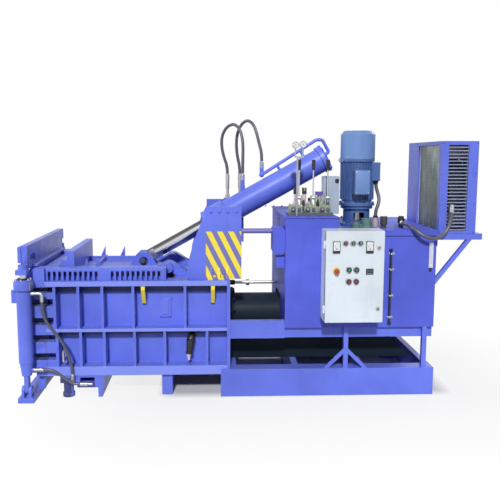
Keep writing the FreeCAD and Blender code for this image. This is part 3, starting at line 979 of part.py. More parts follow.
fit = []
for hx in (HA_X, HB_X):
    fit.append(fuse([cyl((hx, HY, BULK_Z + 14), (0, 0, 1), 16, LID_HOSE_Z - BULK_Z - 14),
                     cyl((hx, HY, LID_HOSE_Z - FERRULE_L), (0, 0, 1), 21, FERRULE_L),
                     hexagon((hx, HY, BULK_Z + 14), (0, 0, 1), 44, 40)]))
x1 = DCYL_X + DCYL_R + 30
hx, hz = HOSE_C[0][0], HOSE_C[0][2]
fit.append(fuse([bent_pipe([(x1, DY, PORT_Z), (hx, DY, PORT_Z), (hx, DY, hz + 20)], 15, 32),
                 cyl((hx, DY, hz), (0, 0, 1), 19, 34)]))
x2 = DCYL_X + 98
fit.append(fuse([cyl((x2, DY, LOW_PORT_Z), (1, 0, 0), 12, 30), cyl((x2 + 24, DY, LOW_PORT_Z), (1, 0, 0), 16, HOSE_D[0][0] - x2 - 24)]))
hx, hy, hz = HOSE_C[-1]
fit.append(fuse([cyl((hx, hy, hz - 50), (0, 0, 1), 17, 50), Part.makeSphere(17, V(hx, hy, hz - 50)),
                 cyl((hx, hy, hz - 50), (0, 1, 0), 14, -STAND_Y - hy)]))
# capped test port on the wall, beside the hose
fit.append(fuse([cyl((TEST_X, TEST_Y, TEST_Z), (0, 0, 1), 12, 88), cyl((TEST_X, TEST_Y, TEST_Z + 88), (0, 0, 1), 8, 16),
                 Part.makeSphere(14, V(TEST_X, TEST_Y, TEST_Z)), cyl((TEST_X, TEST_Y, TEST_Z), (0, 1, 0), 12, -WALL_OUT - TEST_Y)]))
hx, hz = HOSE_D[-1][0], HOSE_D[-1][2]
fit.append(fuse([cyl((hx, DY, hz), (1, 0, 0), 16, 44), cyl((hx, DY, hz), (1, 0, 0), 11, 106),
                 cyl((hx + 106, DY, hz), (0, 1, 0), 11, -STAND_Y - DY), Part.makeSphere(13, V(hx + 106, DY, hz))]))
hx, hy = HOSE_COOL[-1][0], HOSE_COOL[-1][1]
fit.append(fuse([cyl((hx, hy, FITTING_Z), (0, 0, 1), 20, 40), Part.makeSphere(19, V(hx, hy, FITTING_Z + 48)),
                 cyl((hx, hy, FITTING_Z + 48), (0, 1, 0), 15, -OUT_Y + 12 - hy)]))
write("hose_fittings", group(fit))
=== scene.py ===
import bmesh
import bpy
import math
from mathutils import Matrix, Vector


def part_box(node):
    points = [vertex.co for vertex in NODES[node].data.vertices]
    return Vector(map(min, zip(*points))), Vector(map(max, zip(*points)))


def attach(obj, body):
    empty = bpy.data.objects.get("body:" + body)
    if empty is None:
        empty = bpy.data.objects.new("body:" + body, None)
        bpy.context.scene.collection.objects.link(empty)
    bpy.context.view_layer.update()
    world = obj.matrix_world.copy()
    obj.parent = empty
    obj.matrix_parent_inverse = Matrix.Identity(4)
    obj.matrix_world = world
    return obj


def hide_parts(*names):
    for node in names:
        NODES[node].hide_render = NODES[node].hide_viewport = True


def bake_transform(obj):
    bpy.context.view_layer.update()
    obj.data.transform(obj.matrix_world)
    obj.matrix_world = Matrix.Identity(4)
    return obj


# Looks of a hydraulic scrap baler. Sizes are in the drawing's millimetres: X runs along the ram from
# the door to the tank, Y across to the far side, Z up. The frame's origin lies at DATUM_X on it.

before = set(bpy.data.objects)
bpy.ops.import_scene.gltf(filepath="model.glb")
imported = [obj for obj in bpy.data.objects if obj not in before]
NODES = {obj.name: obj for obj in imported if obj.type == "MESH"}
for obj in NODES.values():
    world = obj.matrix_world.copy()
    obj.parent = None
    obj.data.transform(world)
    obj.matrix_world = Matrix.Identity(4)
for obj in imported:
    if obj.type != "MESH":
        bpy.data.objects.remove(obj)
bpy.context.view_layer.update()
S = bpy.context.scene
S.view_settings.view_transform = "Standard"
DATUM_X = 980.0
BEYOND = 9999.0    # a limit outside the machine
FRONT, BACK, RIGHT, UP = (0, -1, 0), (0, 1, 0), (1, 0, 0), (0, 0, 1)


# ---- places and camera
def P(x, y, z):
    """A point of the drawing, in the frame's metres."""
    return Vector(((x - DATUM_X) / 1000.0, y / 1000.0, z / 1000.0))


def front_of(node):
    """Middle of a CAD node's front, in the drawing's millimetres."""
    lo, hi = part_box(node)
    x, z = [(lo[k] + hi[k]) * 500 for k in (0, 2)]
    return x + DATUM_X, lo[1] * 1000, z


def turns(count, first=0.0):
    """Equal turns round a circle, from a share of the first one."""
    return [math.tau * (k + first) / count for k in range(count)]


CAM_AT = (-1.109, -6.416, 2.295)
CAM_TILT, CAM_TURN, CAM_LENS = 83.0, -1.8, 44.64

cam = bpy.data.objects.new("camera", bpy.data.cameras.new("camera"))
S.collection.objects.link(cam)
S.camera = cam
cam.location = CAM_AT
cam.rotation_euler = (math.radians(CAM_TILT), 0.0, math.radians(CAM_TURN))
cam.data.sensor_width = 36.0
cam.data.lens = CAM_LENS
cam.data.shift_x = 0.037
cam.data.shift_y = -0.034
cam.data.clip_end = 60.0


# ---- shapes
class Form:
    """The mesh of one piece, put together from rounded blocks, rods, bolts and turned shapes."""

    CORNER = 50.0    # a block's arrises turn by more than this, in degrees
    RIM = 66.0    # a rod's rims too, and the flats of a hexagonal one by less
    CREASE = 32.0    # flatter edges than this are shaded smooth
    WASHER = 3.0

    def __init__(self):
        self.bm = bmesh.new()

    def soften(self, verts, width, angle):
        """Rounds the arrises sharper than angle among some vertices."""
        edges = {e for v in verts for e in v.link_edges}
        for f in {f for v in verts for f in v.link_faces}:
            f.normal_update()
        sharp = [e for e in edges
                 if len(e.link_faces) == 2 and e.calc_face_angle(0.0) > math.radians(angle)]
        bmesh.ops.bevel(self.bm, geom=sharp, offset=width / 1000, segments=2, profile=0.5,
                        affect="EDGES", material=-1)

    def block(self, x, y, z, r=2.0):
        """A box between three pairs of limits, with its arrises rounded by r."""
        middle = P(sum(x) / 2, sum(y) / 2, sum(z) / 2)
        size = [(b - a) / 1000 for a, b in (x, y, z)]
        place = Matrix.Translation(middle) @ Matrix.Diagonal((*size, 1.0))
        made = bmesh.ops.create_cube(self.bm, size=1.0, matrix=place)
        if r:
            self.soften(made["verts"], r, self.CORNER)
        return self

    def rod(self, p, q, r, r2=None, segs=24, soft=0.0):
        """A round or hexagonal bar from p to q, tapering to r2, with its rims rounded by soft."""
        a, b = P(*p), P(*q)
        turn = (b - a).to_track_quat("Z", "Y").to_matrix().to_4x4()
        made = bmesh.ops.create_cone(self.bm, cap_ends=True, segments=segs, radius1=r / 1000,
                                     radius2=(r if r2 is None else r2) / 1000, depth=(b - a).length,
                                     matrix=Matrix.Translation((a + b) / 2) @ turn)
        if soft:
            self.soften(made["verts"], soft, self.RIM)
        return self

    def bolt(self, p, axis, af=24.0, h=13.0):
        """Hexagon head on its washer, seated at p."""
        a, p = Vector(axis).normalized(), Vector(p)
        seat = p + a * self.WASHER
        self.rod(p, seat, af * 0.72, segs=18)
        return self.rod(seat, p + a * (self.WASHER + h), af / math.sqrt(3.0), segs=6, soft=1.2)

    def bolts(self, xs, ys, zs, axis=UP, af=20.0, h=11.0):
        """Bolts at every x, y and z."""
        for x in xs:
            for y in ys:
                for z in zs:
                    self.bolt((x, y, z), axis, af, h)

    def turned(self, p, axis, profile, segs=36):
        """Revolves (radius, height) points about an axis through p."""
        a = Vector(axis).normalized()
        u = a.orthogonal().normalized()
        o = P(*p)
        vs = [self.bm.verts.new(o + u * (r / 1000) + a * (h / 1000)) for r, h in profile]
        es = [self.bm.edges.new(pair) for pair in zip(vs, vs[1:])]
        bmesh.ops.spin(self.bm, geom=vs + es, cent=o, axis=a, angle=math.tau, steps=segs,
                       use_merge=True, use_duplicate=False)
        return self

    def ring(self, p, axis, ro, ri, h, soft=1.0, segs=36):
        """A washer or band whose outer rim is rounded."""
        profile = [(ri, 0), (ro - soft, 0), (ro, soft), (ro, h - soft), (ro - soft, h), (ri, h), (ri, 0)]
        return self.turned(p, axis, profile, segs)

    def done(self, name, mat, slot, body="frame"):
        """Cleans the mesh and hangs it on a CAD body."""
        bm = self.bm
        bmesh.ops.remove_doubles(bm, verts=bm.verts[:], dist=2e-6)
        bmesh.ops.dissolve_degenerate(bm, edges=bm.edges[:], dist=1e-6)
        bmesh.ops.recalc_face_normals(bm, faces=bm.faces[:])
        me = bpy.data.meshes.new(name)
        bm.to_mesh(me)
        bm.free()
        for p in me.polygons:
            p.use_smooth = True
        me.set_sharp_from_angle(angle=math.radians(self.CREASE))
        me.materials.append(mat)
        ob = bpy.data.objects.new(name, me)
        S.collection.objects.link(ob)
        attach(ob, body)


# ---- finishes
class Finish:
    """A material: its shader nodes, and the tone, roughness and metal that are laid over each other."""

    def __init__(self, name):
        self.mat = bpy.data.materials.new(name)
        self.mat.use_nodes = True
        self.t = self.mat.node_tree
        self.t.nodes.clear()
        self.out = self.node("OutputMaterial")
        self.bsdf = self.node("BsdfPrincipled")
        self.t.links.new(self.bsdf.outputs[0], self.out.inputs[0])
        self.coord = self.node("TexCoord").outputs["Object"]
        self.normal = self.node("NewGeometry").outputs["Normal"]
        self.tone, self.rough, self.metal = (0.5, 0.5, 0.5), 0.5, 0.0

    def join(self, sock, v):
        """Links a socket to another one, or sets its value."""
        if isinstance(v, bpy.types.NodeSocket):
            self.t.links.new(v, sock)
        elif isinstance(v, tuple) and len(v) == 3 and sock.type == "RGBA":
            sock.default_value = (*v, 1.0)
        else:
            sock.default_value = v

    def node(self, kind, **inputs):
        """A new node; _ stands for a space in its inputs' names."""
        n = self.t.nodes.new("ShaderNode" + kind)
        for k, v in inputs.items():
            self.join(n.inputs[k.replace("_", " ")], v)
        return n

    def axes(self, vec=None):
        """The three parts of a vector, of the place itself if none is given."""
        return self.node("SeparateXYZ", Vector=vec or self.coord).outputs

    def noise(self, scale, detail=4.0, rough=0.55, stretch=None):
        """Cloudy noise; stretch multiplies its scale along each axis."""
        vec = self.coord
        if stretch:
            vec = self.node("Mapping", Vector=vec, Scale=stretch).outputs[0]
        n = self.node("TexNoise", Vector=vec, Scale=scale, Detail=detail, Roughness=rough)
        return n.outputs["Fac"]

    def math(self, op, a, b=0.0, c=0.0):
        """One operation on sockets and numbers."""
        n = self.node("Math")
        n.operation = op
        for sock, v in zip(n.inputs, (a, b, c)):
            self.join(sock, v)
        return n.outputs[0]

    def times(self, *values):
        """The product of sockets and numbers."""
        total = values[0]
        for v in values[1:]:
            total = self.math("MULTIPLY", total, v)
        return total

    def between(self, sock, lo, hi):
        """1 where the value lies in a range."""
        return self.times(self.math("GREATER_THAN", sock, lo), self.math("LESS_THAN", sock, hi))

    def inside(self, x=None, y=None, z=None):
        """1 inside a box of the drawing; a side left out has no limit."""
        masks = []
        for sock, lim, back in zip(self.axes(), (x, y, z), (DATUM_X, 0.0, 0.0)):
            if lim:
                masks.append(self.between(sock, (lim[0] - back) / 1000, (lim[1] - back) / 1000))
        return self.times(*masks)

    def vector(self, op, a, b=None):
        """One operation on vectors."""
        n = self.node("VectorMath")
        n.operation = op
        self.join(n.inputs[0], a)
        if b is not None:
            self.join(n.inputs[1], b)
        return n.outputs["Value" if op in ("LENGTH", "DOT_PRODUCT") else "Vector"]

    def away(self, p, keep):
        """Distance from the line through p along the axis that keep leaves out."""
        off = self.vector("SUBTRACT", self.coord, P(*p))
        return self.vector("LENGTH", self.vector("MULTIPLY", off, keep))

    def ramp(self, fac, lo, hi, a=0.0, b=1.0):
        """Straight rise from a at lo to b at hi, held outside."""
        n = self.node("MapRange", Value=fac)
        for k, v in zip(range(1, 5), (lo, hi, a, b)):
            n.inputs[k].default_value = v
        return n.outputs[0]

    def mixer(self, kind, sockets, result, values):
        """A mix of one kind, whose sockets go by their numbers."""
        n = self.node("Mix")
        n.data_type = kind
        for k, v in zip(sockets, values):
            self.join(n.inputs[k], v)
        return n.outputs[result]

    def mix(self, fac, a, b):
        """Between two colours."""
        return self.mixer("RGBA", (0, 6, 7), 2, (fac, a, b))

    def blend(self, fac, a, b):
        """Between two numbers."""
        return self.mixer("FLOAT", (0, 2, 3), 0, (fac, a, b))

    def lay(self, mask, tone, rough=None, metal=None):
        """Puts a paint, a metal, dirt or painted shade over what is there, where the mask is 1."""
        self.tone = self.mix(mask, self.tone, tone)
        if rough is not None:
            self.rough = self.blend(mask, self.rough, rough)
        if metal is not None:
            self.metal = self.blend(mask, self.metal, metal)

    def arris(self, radius):
        """Normal rounded over the edges, and a mask that is 1 along them."""
        soft = self.node("Bevel", Radius=radius)
        soft.samples = 4
        facing = self.vector("DOT_PRODUCT", soft.outputs[0], self.normal)
        return soft.outputs[0], self.ramp(facing, 0.97, 0.78)

    def finish(self, height=None, strength=0.05, dist=0.004, soft=None, **fixed):
        """Joins all to the shader, with a bump; the fixed values go on its sockets."""
        for name, v in (("Base Color", self.tone), ("Roughness", self.rough), ("Metallic", self.metal)):
            self.join(self.bsdf.inputs[name], v)
        if height is not None:
            bump = self.node("Bump", Height=height, Strength=strength, Distance=dist)
            if soft is not None:
                self.join(bump.inputs["Normal"], soft)
            soft = bump.outputs[0]
        if soft is not None:
            self.join(self.bsdf.inputs["Normal"], soft)
        for k, v in fixed.items():
            self.bsdf.inputs[k.replace("_", " ")].default_value = v
        return self.mat


def shade(c, k):
    """The colour c, k times as bright."""
    return tuple(min(1.0, v * k) for v in c)


def enamel(name, base, wear_highlight=(0.44, 0.49, 0.88), dust=0.2, rough=0.42, wear_highlight_share=0.7, shine=0.4, over=None):
    """Sprayed machine enamel: cloudy tone, orange peel, streaks, arrises rubbed paler (partly wear,
    partly painted highlight) and dust on top.
    """
    n = Finish(name)
    n.tone = n.mix(n.ramp(n.noise(1.5, 5.0, 0.6), 0.35, 0.68), shade(base, 0.84), shade(base, 1.12))
    n.rough = n.math("ADD", n.times(n.noise(9.0, 4.0), 0.2), rough - 0.1)
    blotches = n.ramp(n.noise(24.0, 5.0, 0.6), 0.56, 0.8)
    n.lay(n.times(blotches, 0.3), shade(base, 0.66))
    streaks = n.ramp(n.noise(11.0, 5.0, 0.6, (1.0, 1.0, 0.12)), 0.56, 0.78)
    n.lay(n.times(streaks, 0.22), shade(base, 0.55), rough + 0.15)
    if over:
        over(n)
    soft, edge_mask = n.arris(0.005)
    chips = n.ramp(n.noise(55.0, 3.0, 0.6), 0.40, 0.62)
    # paler arrises: edge wear that also paints highlights along the edges
    n.lay(n.times(edge_mask, chips, wear_highlight_share), wear_highlight, rough + 0.1)
    lying = n.times(n.ramp(n.axes(n.normal)[2], 0.6, 0.98), n.ramp(n.noise(5.0, 5.0, 0.65), 0.35, 0.7))
    n.lay(n.times(lying, dust), DUST, 0.7)
    height = n.math("ADD", n.noise(420.0, 2.0), n.times(n.noise(7.0, 3.0), 0.8))
    return n.finish(height, 0.05, 0.004, soft, Coat_Weight=shine * 0.2, Coat_Roughness=0.3,
                    Specular_IOR_Level=shine)


def metal(name, base, rough=0.3, grain=(2, 2, 60), streak=0.25, stain=0.3, over=None):
    """Ground or plated metal with a brushed grain and oily stains."""
    n = Finish(name)
    brushed = n.noise(18.0, 4.0, 0.6, grain)
    n.tone = n.mix(n.times(brushed, streak), base, shade(base, 0.55))
    dirt = n.ramp(n.noise(7.0, 6.0, 0.65), 0.5, 0.78)
    n.rough = n.math("ADD", n.times(brushed, 0.2), rough - 0.08)
    n.metal = 1.0
    n.lay(n.times(dirt, stain), OIL_STAIN, rough + 0.2)
    if over:
        over(n)
    soft, _ = n.arris(0.0015)
    return n.finish(brushed, 0.06, 0.001, soft)


def moulded(name, base, rough=0.45, spot=0.25, grain=500.0, coat=0.0, over=None):
    """Rubber or plastic with a fine grain and scuffed arrises."""
    n = Finish(name)
    n.tone = n.mix(n.times(n.noise(14.0, 4.0), spot), base, shade(base, 0.55))
    n.rough = n.math("ADD", n.times(n.noise(30.0, 3.0), 0.2), rough - 0.1)
    if over:
        over(n)
    soft, edge_mask = n.arris(0.001)
    n.lay(n.times(edge_mask, 0.12), tuple(min(1.0, c + 0.25) for c in base))
    return n.finish(n.noise(grain, 2.0), 0.08, 0.001, soft, Coat_Weight=coat, Coat_Roughness=0.1)


BLUE = (0.112, 0.160, 0.680)
YELLOW = (0.80, 0.66, 0.05)
STEEL = (0.46, 0.46, 0.48)
CHROME = (0.56, 0.57, 0.60)
BLACK = (0.012, 0.012, 0.015)
DUST = (0.42, 0.44, 0.62)
OIL_STAIN = (0.06, 0.055, 0.05)
# the next tone is the painted shadow laid under the side walls' flanges
FLANGE_SHADOW_TONE = (0.016, 0.024, 0.10)
# the next tone is painted shade for the slots of the door guides
SLOT_SHADE_TONE = (0.014, 0.02, 0.08)
WET_GREASE = (0.035, 0.045, 0.19)

# driving sizes that the looks and the pieces below line up with
OUT_Y, WALL_IN, WALL_OUT = 650.0, 480.0, 510.0    # edge of the flanges, faces of the wall's plate
TOP_FLANGE, MID_FLANGE = 1083.0, 644.0    # undersides
TOWER_X0, TOWER_Y, STRIPE_FOOT, STRIPE_TOP, STRIPE_PITCH = -190.0, 560.0, 1130.0, 1590.0, 106.0
GUSSETS, GUSSET_HALF, GUSSET_FOOT = (-786.0, -124.0), 18.8, 893.0
DCYL_X, DCYL_Y, DCYL_TOP, DROD_R = -1878.0, 720.0, 1168.0, 34.0
DROD_TOP, YOKE_Z = 1215.0, 1230.0
RAM_Z, RAM_BACK, MROD_R = 680.0, -220.0, 110.0
TRUN_X, TRUN_Z, LUG_X, LUG_Z, EYE_R = -36.0, 1688.0, -847.0, 1238.0, 84.0
FIN_PITCH, TUBE_PITCH = 6.4, 32.0

# boxes of the drawing that take a paint of their own: spans in X, Y and Z, None without a limit
TOWER_TOES = ((-130, -14), (-BEYOND, -TOWER_Y - 4), (1160, 1300))
MANIFOLD = (None, None, (0, 1764))
SOLENOID_ENDS = (None, (-BEYOND, -492), None)
CARTRIDGE_CAPS = (((600, 800), (-400, -340), (1952, BEYOND)), ((800, 860), (-400, -340), (1862, BEYOND)))
BREATHER = ((1500, 1640), None, (1500, BEYOND))
CONDUIT_GLAND = ((1420, 1545), (-380, 0), (1500, BEYOND))
LEVEL_GAUGE = ((1900, BEYOND), None, None)
TIE_BAR = (None, None, (1400, BEYOND))
PIPE_UNION = ((30, 116), None, (800, 1100))
CASING_INSIDE = ((2035, 2345.9), (-640, 310), (1596, 2405))
LID_GASKET = ((1064, BEYOND), (-OUT_Y - 3, OUT_Y + 3), (1546, 1554))
CABINET_WELD = ((1057, 1063), None, None)
SPOUT_FOOT = ((-1610, -1490), (-BEYOND, -500), (-5, 190))
SWITCH_KNOB = (None, (-BEYOND, -323), None)
LEVER_GRIPS = (None, None, (2168, BEYOND))


def hazard(n):
    """Slanting yellow stripes on the tower's outer plates, and yellow foot stiffeners."""
    x, _, z = n.axes()
    along = n.math("ADD", x, n.times(z, 0.5))
    start = (TOWER_X0 - DATUM_X + 0.5 * STRIPE_TOP) / 1000
    turn = n.math("FRACT", n.math("DIVIDE", n.math("SUBTRACT", along, start), STRIPE_PITCH / 1000))
    field = n.inside((TOWER_X0, 400), (-BEYOND, -TOWER_Y + 1), (STRIPE_FOOT, STRIPE_TOP))
    n.lay(n.times(field, n.math("LESS_THAN", turn, 0.5)), YELLOW)
    n.lay(n.times(field, n.math("GREATER_THAN", turn, 0.5)), (0.16, 0.15, 0.42))
    n.lay(n.inside(*TOWER_TOES), YELLOW)


def liner(n):
    """Scraped bare steel on the faces that the scrap rubs against."""
    scraped = n.ramp(n.noise(6.0, 6.0, 0.7, (0.3, 1.0, 1.0)), 0.35, 0.6, 0.35, 1.0)
    for side in ((-WALL_IN - 3, -WALL_IN + 3), (WALL_IN - 3, WALL_IN + 3)):
        n.lay(n.times(n.inside(y=side), scraped), (0.20, 0.19, 0.19), 0.45, 0.7)


def painted_flange_shadow(n):
    """Painted shadow: a dark band under the top and middle flanges of a side wall."""
    height = n.axes()[2]
    for top, deep in ((TOP_FLANGE, 92), (MID_FLANGE, 72)):
        band = n.ramp(height, (top - deep) / 1000, (top - deep + 22) / 1000)
        for side in ((-OUT_Y + 9, -WALL_OUT + 5), (WALL_OUT - 5, OUT_Y - 9)):
            # painted shadow: a dark band under each flange
            n.lay(n.times(band, n.inside(y=side, z=(top - deep, top + 2)), 0.9), FLANGE_SHADOW_TONE, 0.6)


def grease(n, where, much):
    """Mottled old grease on painted faces that slide or are handled."""
    patches = n.ramp(n.noise(9.0, 6.0, 0.7), 0.47, 0.66)
    n.lay(n.times(patches, where, much), WET_GREASE, 0.35)


def guide_gaps(n):
    """Painted shade in the slots of the door guides, and spots of grease on their faces."""
    for side in ((-OUT_Y + 12, -470), (470, OUT_Y - 12)):
        # painted shade darkening the guides' slots
        n.lay(n.times(n.inside(y=side, z=(190, 1095)), 0.8), SLOT_SHADE_TONE, 0.6)
    grease(n, n.inside(z=(-BEYOND, 1095)), 0.45)


def painted_belly_shade(n):
    """Painted shade along the underside of the lid's barrel, on the faces that point down."""
    under = n.ramp(n.axes(n.normal)[2], -0.25, -0.75)
    n.lay(n.times(under, 0.25), (0.03, 0.04, 0.16), 0.5)


def wall_wear_and_shadow(n):
    """Scraped inner faces, and painted shadow under the flanges, for both side walls."""
    liner(n)
    painted_flange_shadow(n)


def near_wall(n):
    """Scraped inner faces, painted shadow under the flanges, a painted highlight on the outermost faces
    of the flanges and ribs, and yellow fronts on the two tapered gussets.
    """
    wall_wear_and_shadow(n)
    # painted highlight: the outermost faces of the flanges and ribs are laid paler
    n.lay(n.times(n.inside(y=(-OUT_Y - 2, -OUT_Y + 2)), 0.5), (0.27, 0.34, 0.88))
    for x in GUSSETS:
        n.lay(n.inside((x - GUSSET_HALF, x + GUSSET_HALF), (-OUT_Y + 5, -WALL_OUT - 6),
                       (GUSSET_FOOT, TOP_FLANGE)), YELLOW)


def door_rods(n):
    """Greasy yoke, and ground chrome on the two lifting rods, which share the door's node."""
    grease(n, n.inside(z=(YOKE_Z, BEYOND)), 0.55)
    for s in (-1, 1):
        near = n.math("LESS_THAN", n.away((DCYL_X, s * DCYL_Y, 0), (1, 1, 0)), (DROD_R + 1.5) / 1000)
        n.lay(n.times(near, n.inside(z=(300, DROD_TOP))), CHROME, 0.16, 1.0)


def ram_rod(n):
    """Ground chrome on the ram's rod, which shares the ram's node."""
    near = n.math("LESS_THAN", n.away((0, 0, RAM_Z), (0, 1, 1)), (MROD_R + 2) / 1000)
    n.lay(n.times(near, n.inside(x=(RAM_BACK, BEYOND))), CHROME, 0.16, 1.0)


def door_bolts(n):
    """Bare gland bolts on top of the door cylinders, and bare port fittings."""
    n.lay(n.inside(z=(DCYL_TOP, BEYOND)), STEEL, 0.35, 1.0)
    n.lay(n.inside(x=(DCYL_X + 69, BEYOND)), STEEL, 0.35, 1.0)


def rod_eye(n):
    """A painted dark reflection along the top of the chrome rod, and its dark forged eye."""
    eye = n.math("LESS_THAN", n.away((LUG_X, 0, LUG_Z), (1, 0, 1)), EYE_R / 1000)
    # painted reflection: a dark band on the upward faces of the rod
    painted_dark_band = n.ramp(n.axes(n.normal)[2], 0.25, 0.55)
    n.lay(n.times(painted_dark_band, n.math("SUBTRACT", 1.0, eye)), (0.10, 0.10, 0.11), 0.3)
    n.lay(eye, (0.05, 0.055, 0.12), 0.5, 0.0)


def valve_parts(n):
    """Dark manifold plate and solenoid ends, and black caps on the three cartridges."""
    n.lay(n.inside(*MANIFOLD), (0.05, 0.06, 0.10), 0.5)
    n.lay(n.inside(*SOLENOID_ENDS), (0.10, 0.11, 0.13), 0.4)
    for cap in CARTRIDGE_CAPS:
        n.lay(n.inside(*cap), BLACK, 0.4)


def tank_parts(n):
    """Dark olive breather, zinc conduit gland and bright level-gauge frame beside the black filler."""
    n.lay(n.inside(*BREATHER), (0.045, 0.05, 0.028), 0.45)
    n.lay(n.inside(*CONDUIT_GLAND), (0.50, 0.40, 0.46), 0.4, 0.3)
    n.lay(n.inside(*LEVEL_GAUGE), (0.62, 0.64, 0.70), 0.3, 0.4)


def pipe_parts(n):
    """Painted tie bar above, and a black union on the bright pipe below."""
    n.lay(n.inside(*TIE_BAR), (0.15, 0.13, 0.40), 0.45, 0.0)
    n.lay(n.inside(*PIPE_UNION), BLACK, 0.5, 0.0)


def cooler_inside(n):
    """Dusty grey inner faces of the cooler's casing."""
    n.lay(n.inside(*CASING_INSIDE), (0.32, 0.35, 0.46), 0.7)


def core_fins(n):
    """Fine vertical fins with painted shade in the gaps between them, darker flat tubes across them, and
    blown dust.
    """
    _, y, z = n.axes()
    # painted shade in the gaps between the fins
    fin_gap_shade = n.math("LESS_THAN", n.math("FRACT", n.math("DIVIDE", y, FIN_PITCH / 1000)), 0.45)
    n.lay(n.times(fin_gap_shade, 0.55), (0.03, 0.035, 0.035), 0.7)
    tube = n.math("LESS_THAN", n.math("FRACT", n.math("DIVIDE", z, TUBE_PITCH / 1000)), 0.22)
    n.lay(n.times(tube, 0.3), (0.09, 0.10, 0.10), 0.5)
    blown = n.noise(5.0, 5.0, 0.7, (1.0, 1.0, 0.25))
    n.lay(n.ramp(blown, 0.45, 0.72, 0.0, 0.85), (0.56, 0.62, 0.60), 0.6)


def tank_seams(n):
    """Dark gasket under the tank's lid and the seam where the cabinet is welded on."""
    n.lay(n.inside(*LID_GASKET), (0.02, 0.02, 0.06), 0.6)
    n.lay(n.times(n.inside(*CABINET_WELD), 0.6), (0.04, 0.05, 0.22), 0.6)


def spout_shade(n):
    """Painted shade on the foot of the outlet pipe under the box."""
    n.lay(n.inside(*SPOUT_FOOT), (0.035, 0.045, 0.15), 0.6)


def switch_black(n):
    """Black knob on the front of the isolator box."""
    n.lay(n.inside(*SWITCH_KNOB), BLACK, 0.4)


def lever_grip(n):
    """Black grip on the upper end of a valve lever."""
    n.lay(n.inside(*LEVER_GRIPS), BLACK, 0.45, 0.0)


def door_face(n):
    """Handling grime round the controls."""
    n.lay(n.times(n.ramp(n.noise(3.0, 5.0, 0.6), 0.5, 0.75), 0.25), (0.40, 0.41, 0.42), 0.45)


blue = enamel("press_enamel", BLUE)
blue_tower = enamel("tower_enamel", BLUE, over=hazard)
blue_wall = enamel("wall_enamel", BLUE, over=near_wall)
blue_door = enamel("door_enamel", BLUE, dust=0.55, over=door_rods)
blue_guide = enamel("guide_enamel", BLUE, dust=0.4, over=guide_gaps)
blue_barrel = enamel("lid_barrel_enamel", BLUE, over=painted_belly_shade)
blue_cylinder = enamel("door_cylinder_enamel", BLUE, over=door_bolts)
blue_ram = enamel("ram_enamel", BLUE, over=ram_rod)
blue_tank = enamel("tank_enamel", (0.090, 0.118, 0.600), wear_highlight_share=0.35, dust=0.15, rough=0.52, shine=0.14,
                   over=tank_seams)
blue_cooler = enamel("cooler_enamel", (0.110, 0.155, 0.680), over=cooler_inside)
motor_blue = enamel("cowl_enamel", (0.130, 0.235, 0.490), wear_highlight_share=0.3, dust=0.2)
# a darker copy of the cowl's blue, painting the shade between the motor's fins
motor_shaded = enamel("motor_shaded_enamel", (0.055, 0.115, 0.315), wear_highlight_share=0.3, dust=0.2)
blue_under = enamel("under_frame_enamel", BLUE, over=spout_shade)
blue_far = enamel("far_wall_enamel", BLUE, over=wall_wear_and_shadow)
# near-black enamel that paints the shade under the tank and between the comb's ribs
dark = enamel("painted_shade_enamel", (0.006, 0.014, 0.024), wear_highlight=(0.06, 0.07, 0.10), dust=0.05, rough=0.6,
              shine=0.15)
cream = enamel("panel_coat", (0.64, 0.71, 0.77), wear_highlight=(0.45, 0.45, 0.44), dust=0.1, rough=0.36, wear_highlight_share=0.2,
               over=door_face)
box_grey = enamel("isolator_coat", (0.38, 0.45, 0.56), wear_highlight=(0.5, 0.5, 0.55), dust=0.1, rough=0.4,
                  wear_highlight_share=0.2, over=switch_black)
shroud_grey = enamel("shroud_coat", (0.36, 0.40, 0.50), wear_highlight=(0.3, 0.3, 0.3), dust=0.1, wear_highlight_share=0.2)
green_cast = enamel("valve_casting", (0.30, 0.37, 0.27), wear_highlight=(0.6, 0.58, 0.50), rough=0.45,
                    over=valve_parts)
pump_cast = enamel("pump_casting", (0.10, 0.20, 0.17), wear_highlight=(0.42, 0.50, 0.46), rough=0.45)
chrome = metal("hard_chrome", CHROME, 0.15, streak=0.1, stain=0.12, over=rod_eye)
bright = metal("bright_steel", STEEL, 0.3)
lever_steel = metal("lever_rod", (0.62, 0.62, 0.64), 0.25, streak=0.1, stain=0.1, over=lever_grip)
bright_pipe = metal("pipe_steel", STEEL, 0.32, over=pipe_parts)
zinc = metal("zinc_plate", (0.50, 0.50, 0.50), 0.34, stain=0.25)
worn_steel = metal("wear_plate", (0.22, 0.22, 0.24), 0.42, stain=0.5)
core_metal = metal("cooler_fins", (0.24, 0.28, 0.27), 0.5, (1, 90, 1), over=core_fins)
slat_metal = enamel("slat_enamel", (0.27, 0.30, 0.43), wear_highlight=(0.5, 0.5, 0.6), wear_highlight_share=0.3)
rubber = moulded("hose_cover", (0.085, 0.088, 0.115), 0.36)
black = moulded("black_moulding", BLACK, 0.42)
fittings = moulded("tank_moulding", BLACK, 0.42, over=tank_parts)
red = moulded("red_cap", (0.42, 0.025, 0.02), 0.25, coat=0.3)
dull_red = moulded("red_button", (0.24, 0.025, 0.04), 0.3, coat=0.2)
green = moulded("green_cap", (0.02, 0.20, 0.13), 0.25, coat=0.3)
cyan = moulded("cyan_lens", (0.04, 0.26, 0.34), 0.2, coat=0.3)
violet = moulded("violet_knob", (0.12, 0.07, 0.34), 0.3, coat=0.2)
pale = moulded("pale_collar", (0.60, 0.50, 0.58), 0.35)
yellow_ring = moulded("stop_ring", (0.75, 0.60, 0.05), 0.4)
lcd = moulded("display_window", (0.05, 0.065, 0.06), 0.2, coat=0.5)
white = moulded("dial_white", (0.70, 0.71, 0.72), 0.35, spot=0.1, coat=0.5)
glass = moulded("gauge_glass", (0.55, 0.60, 0.72), 0.12, spot=0.3, grain=90.0, coat=0.8)

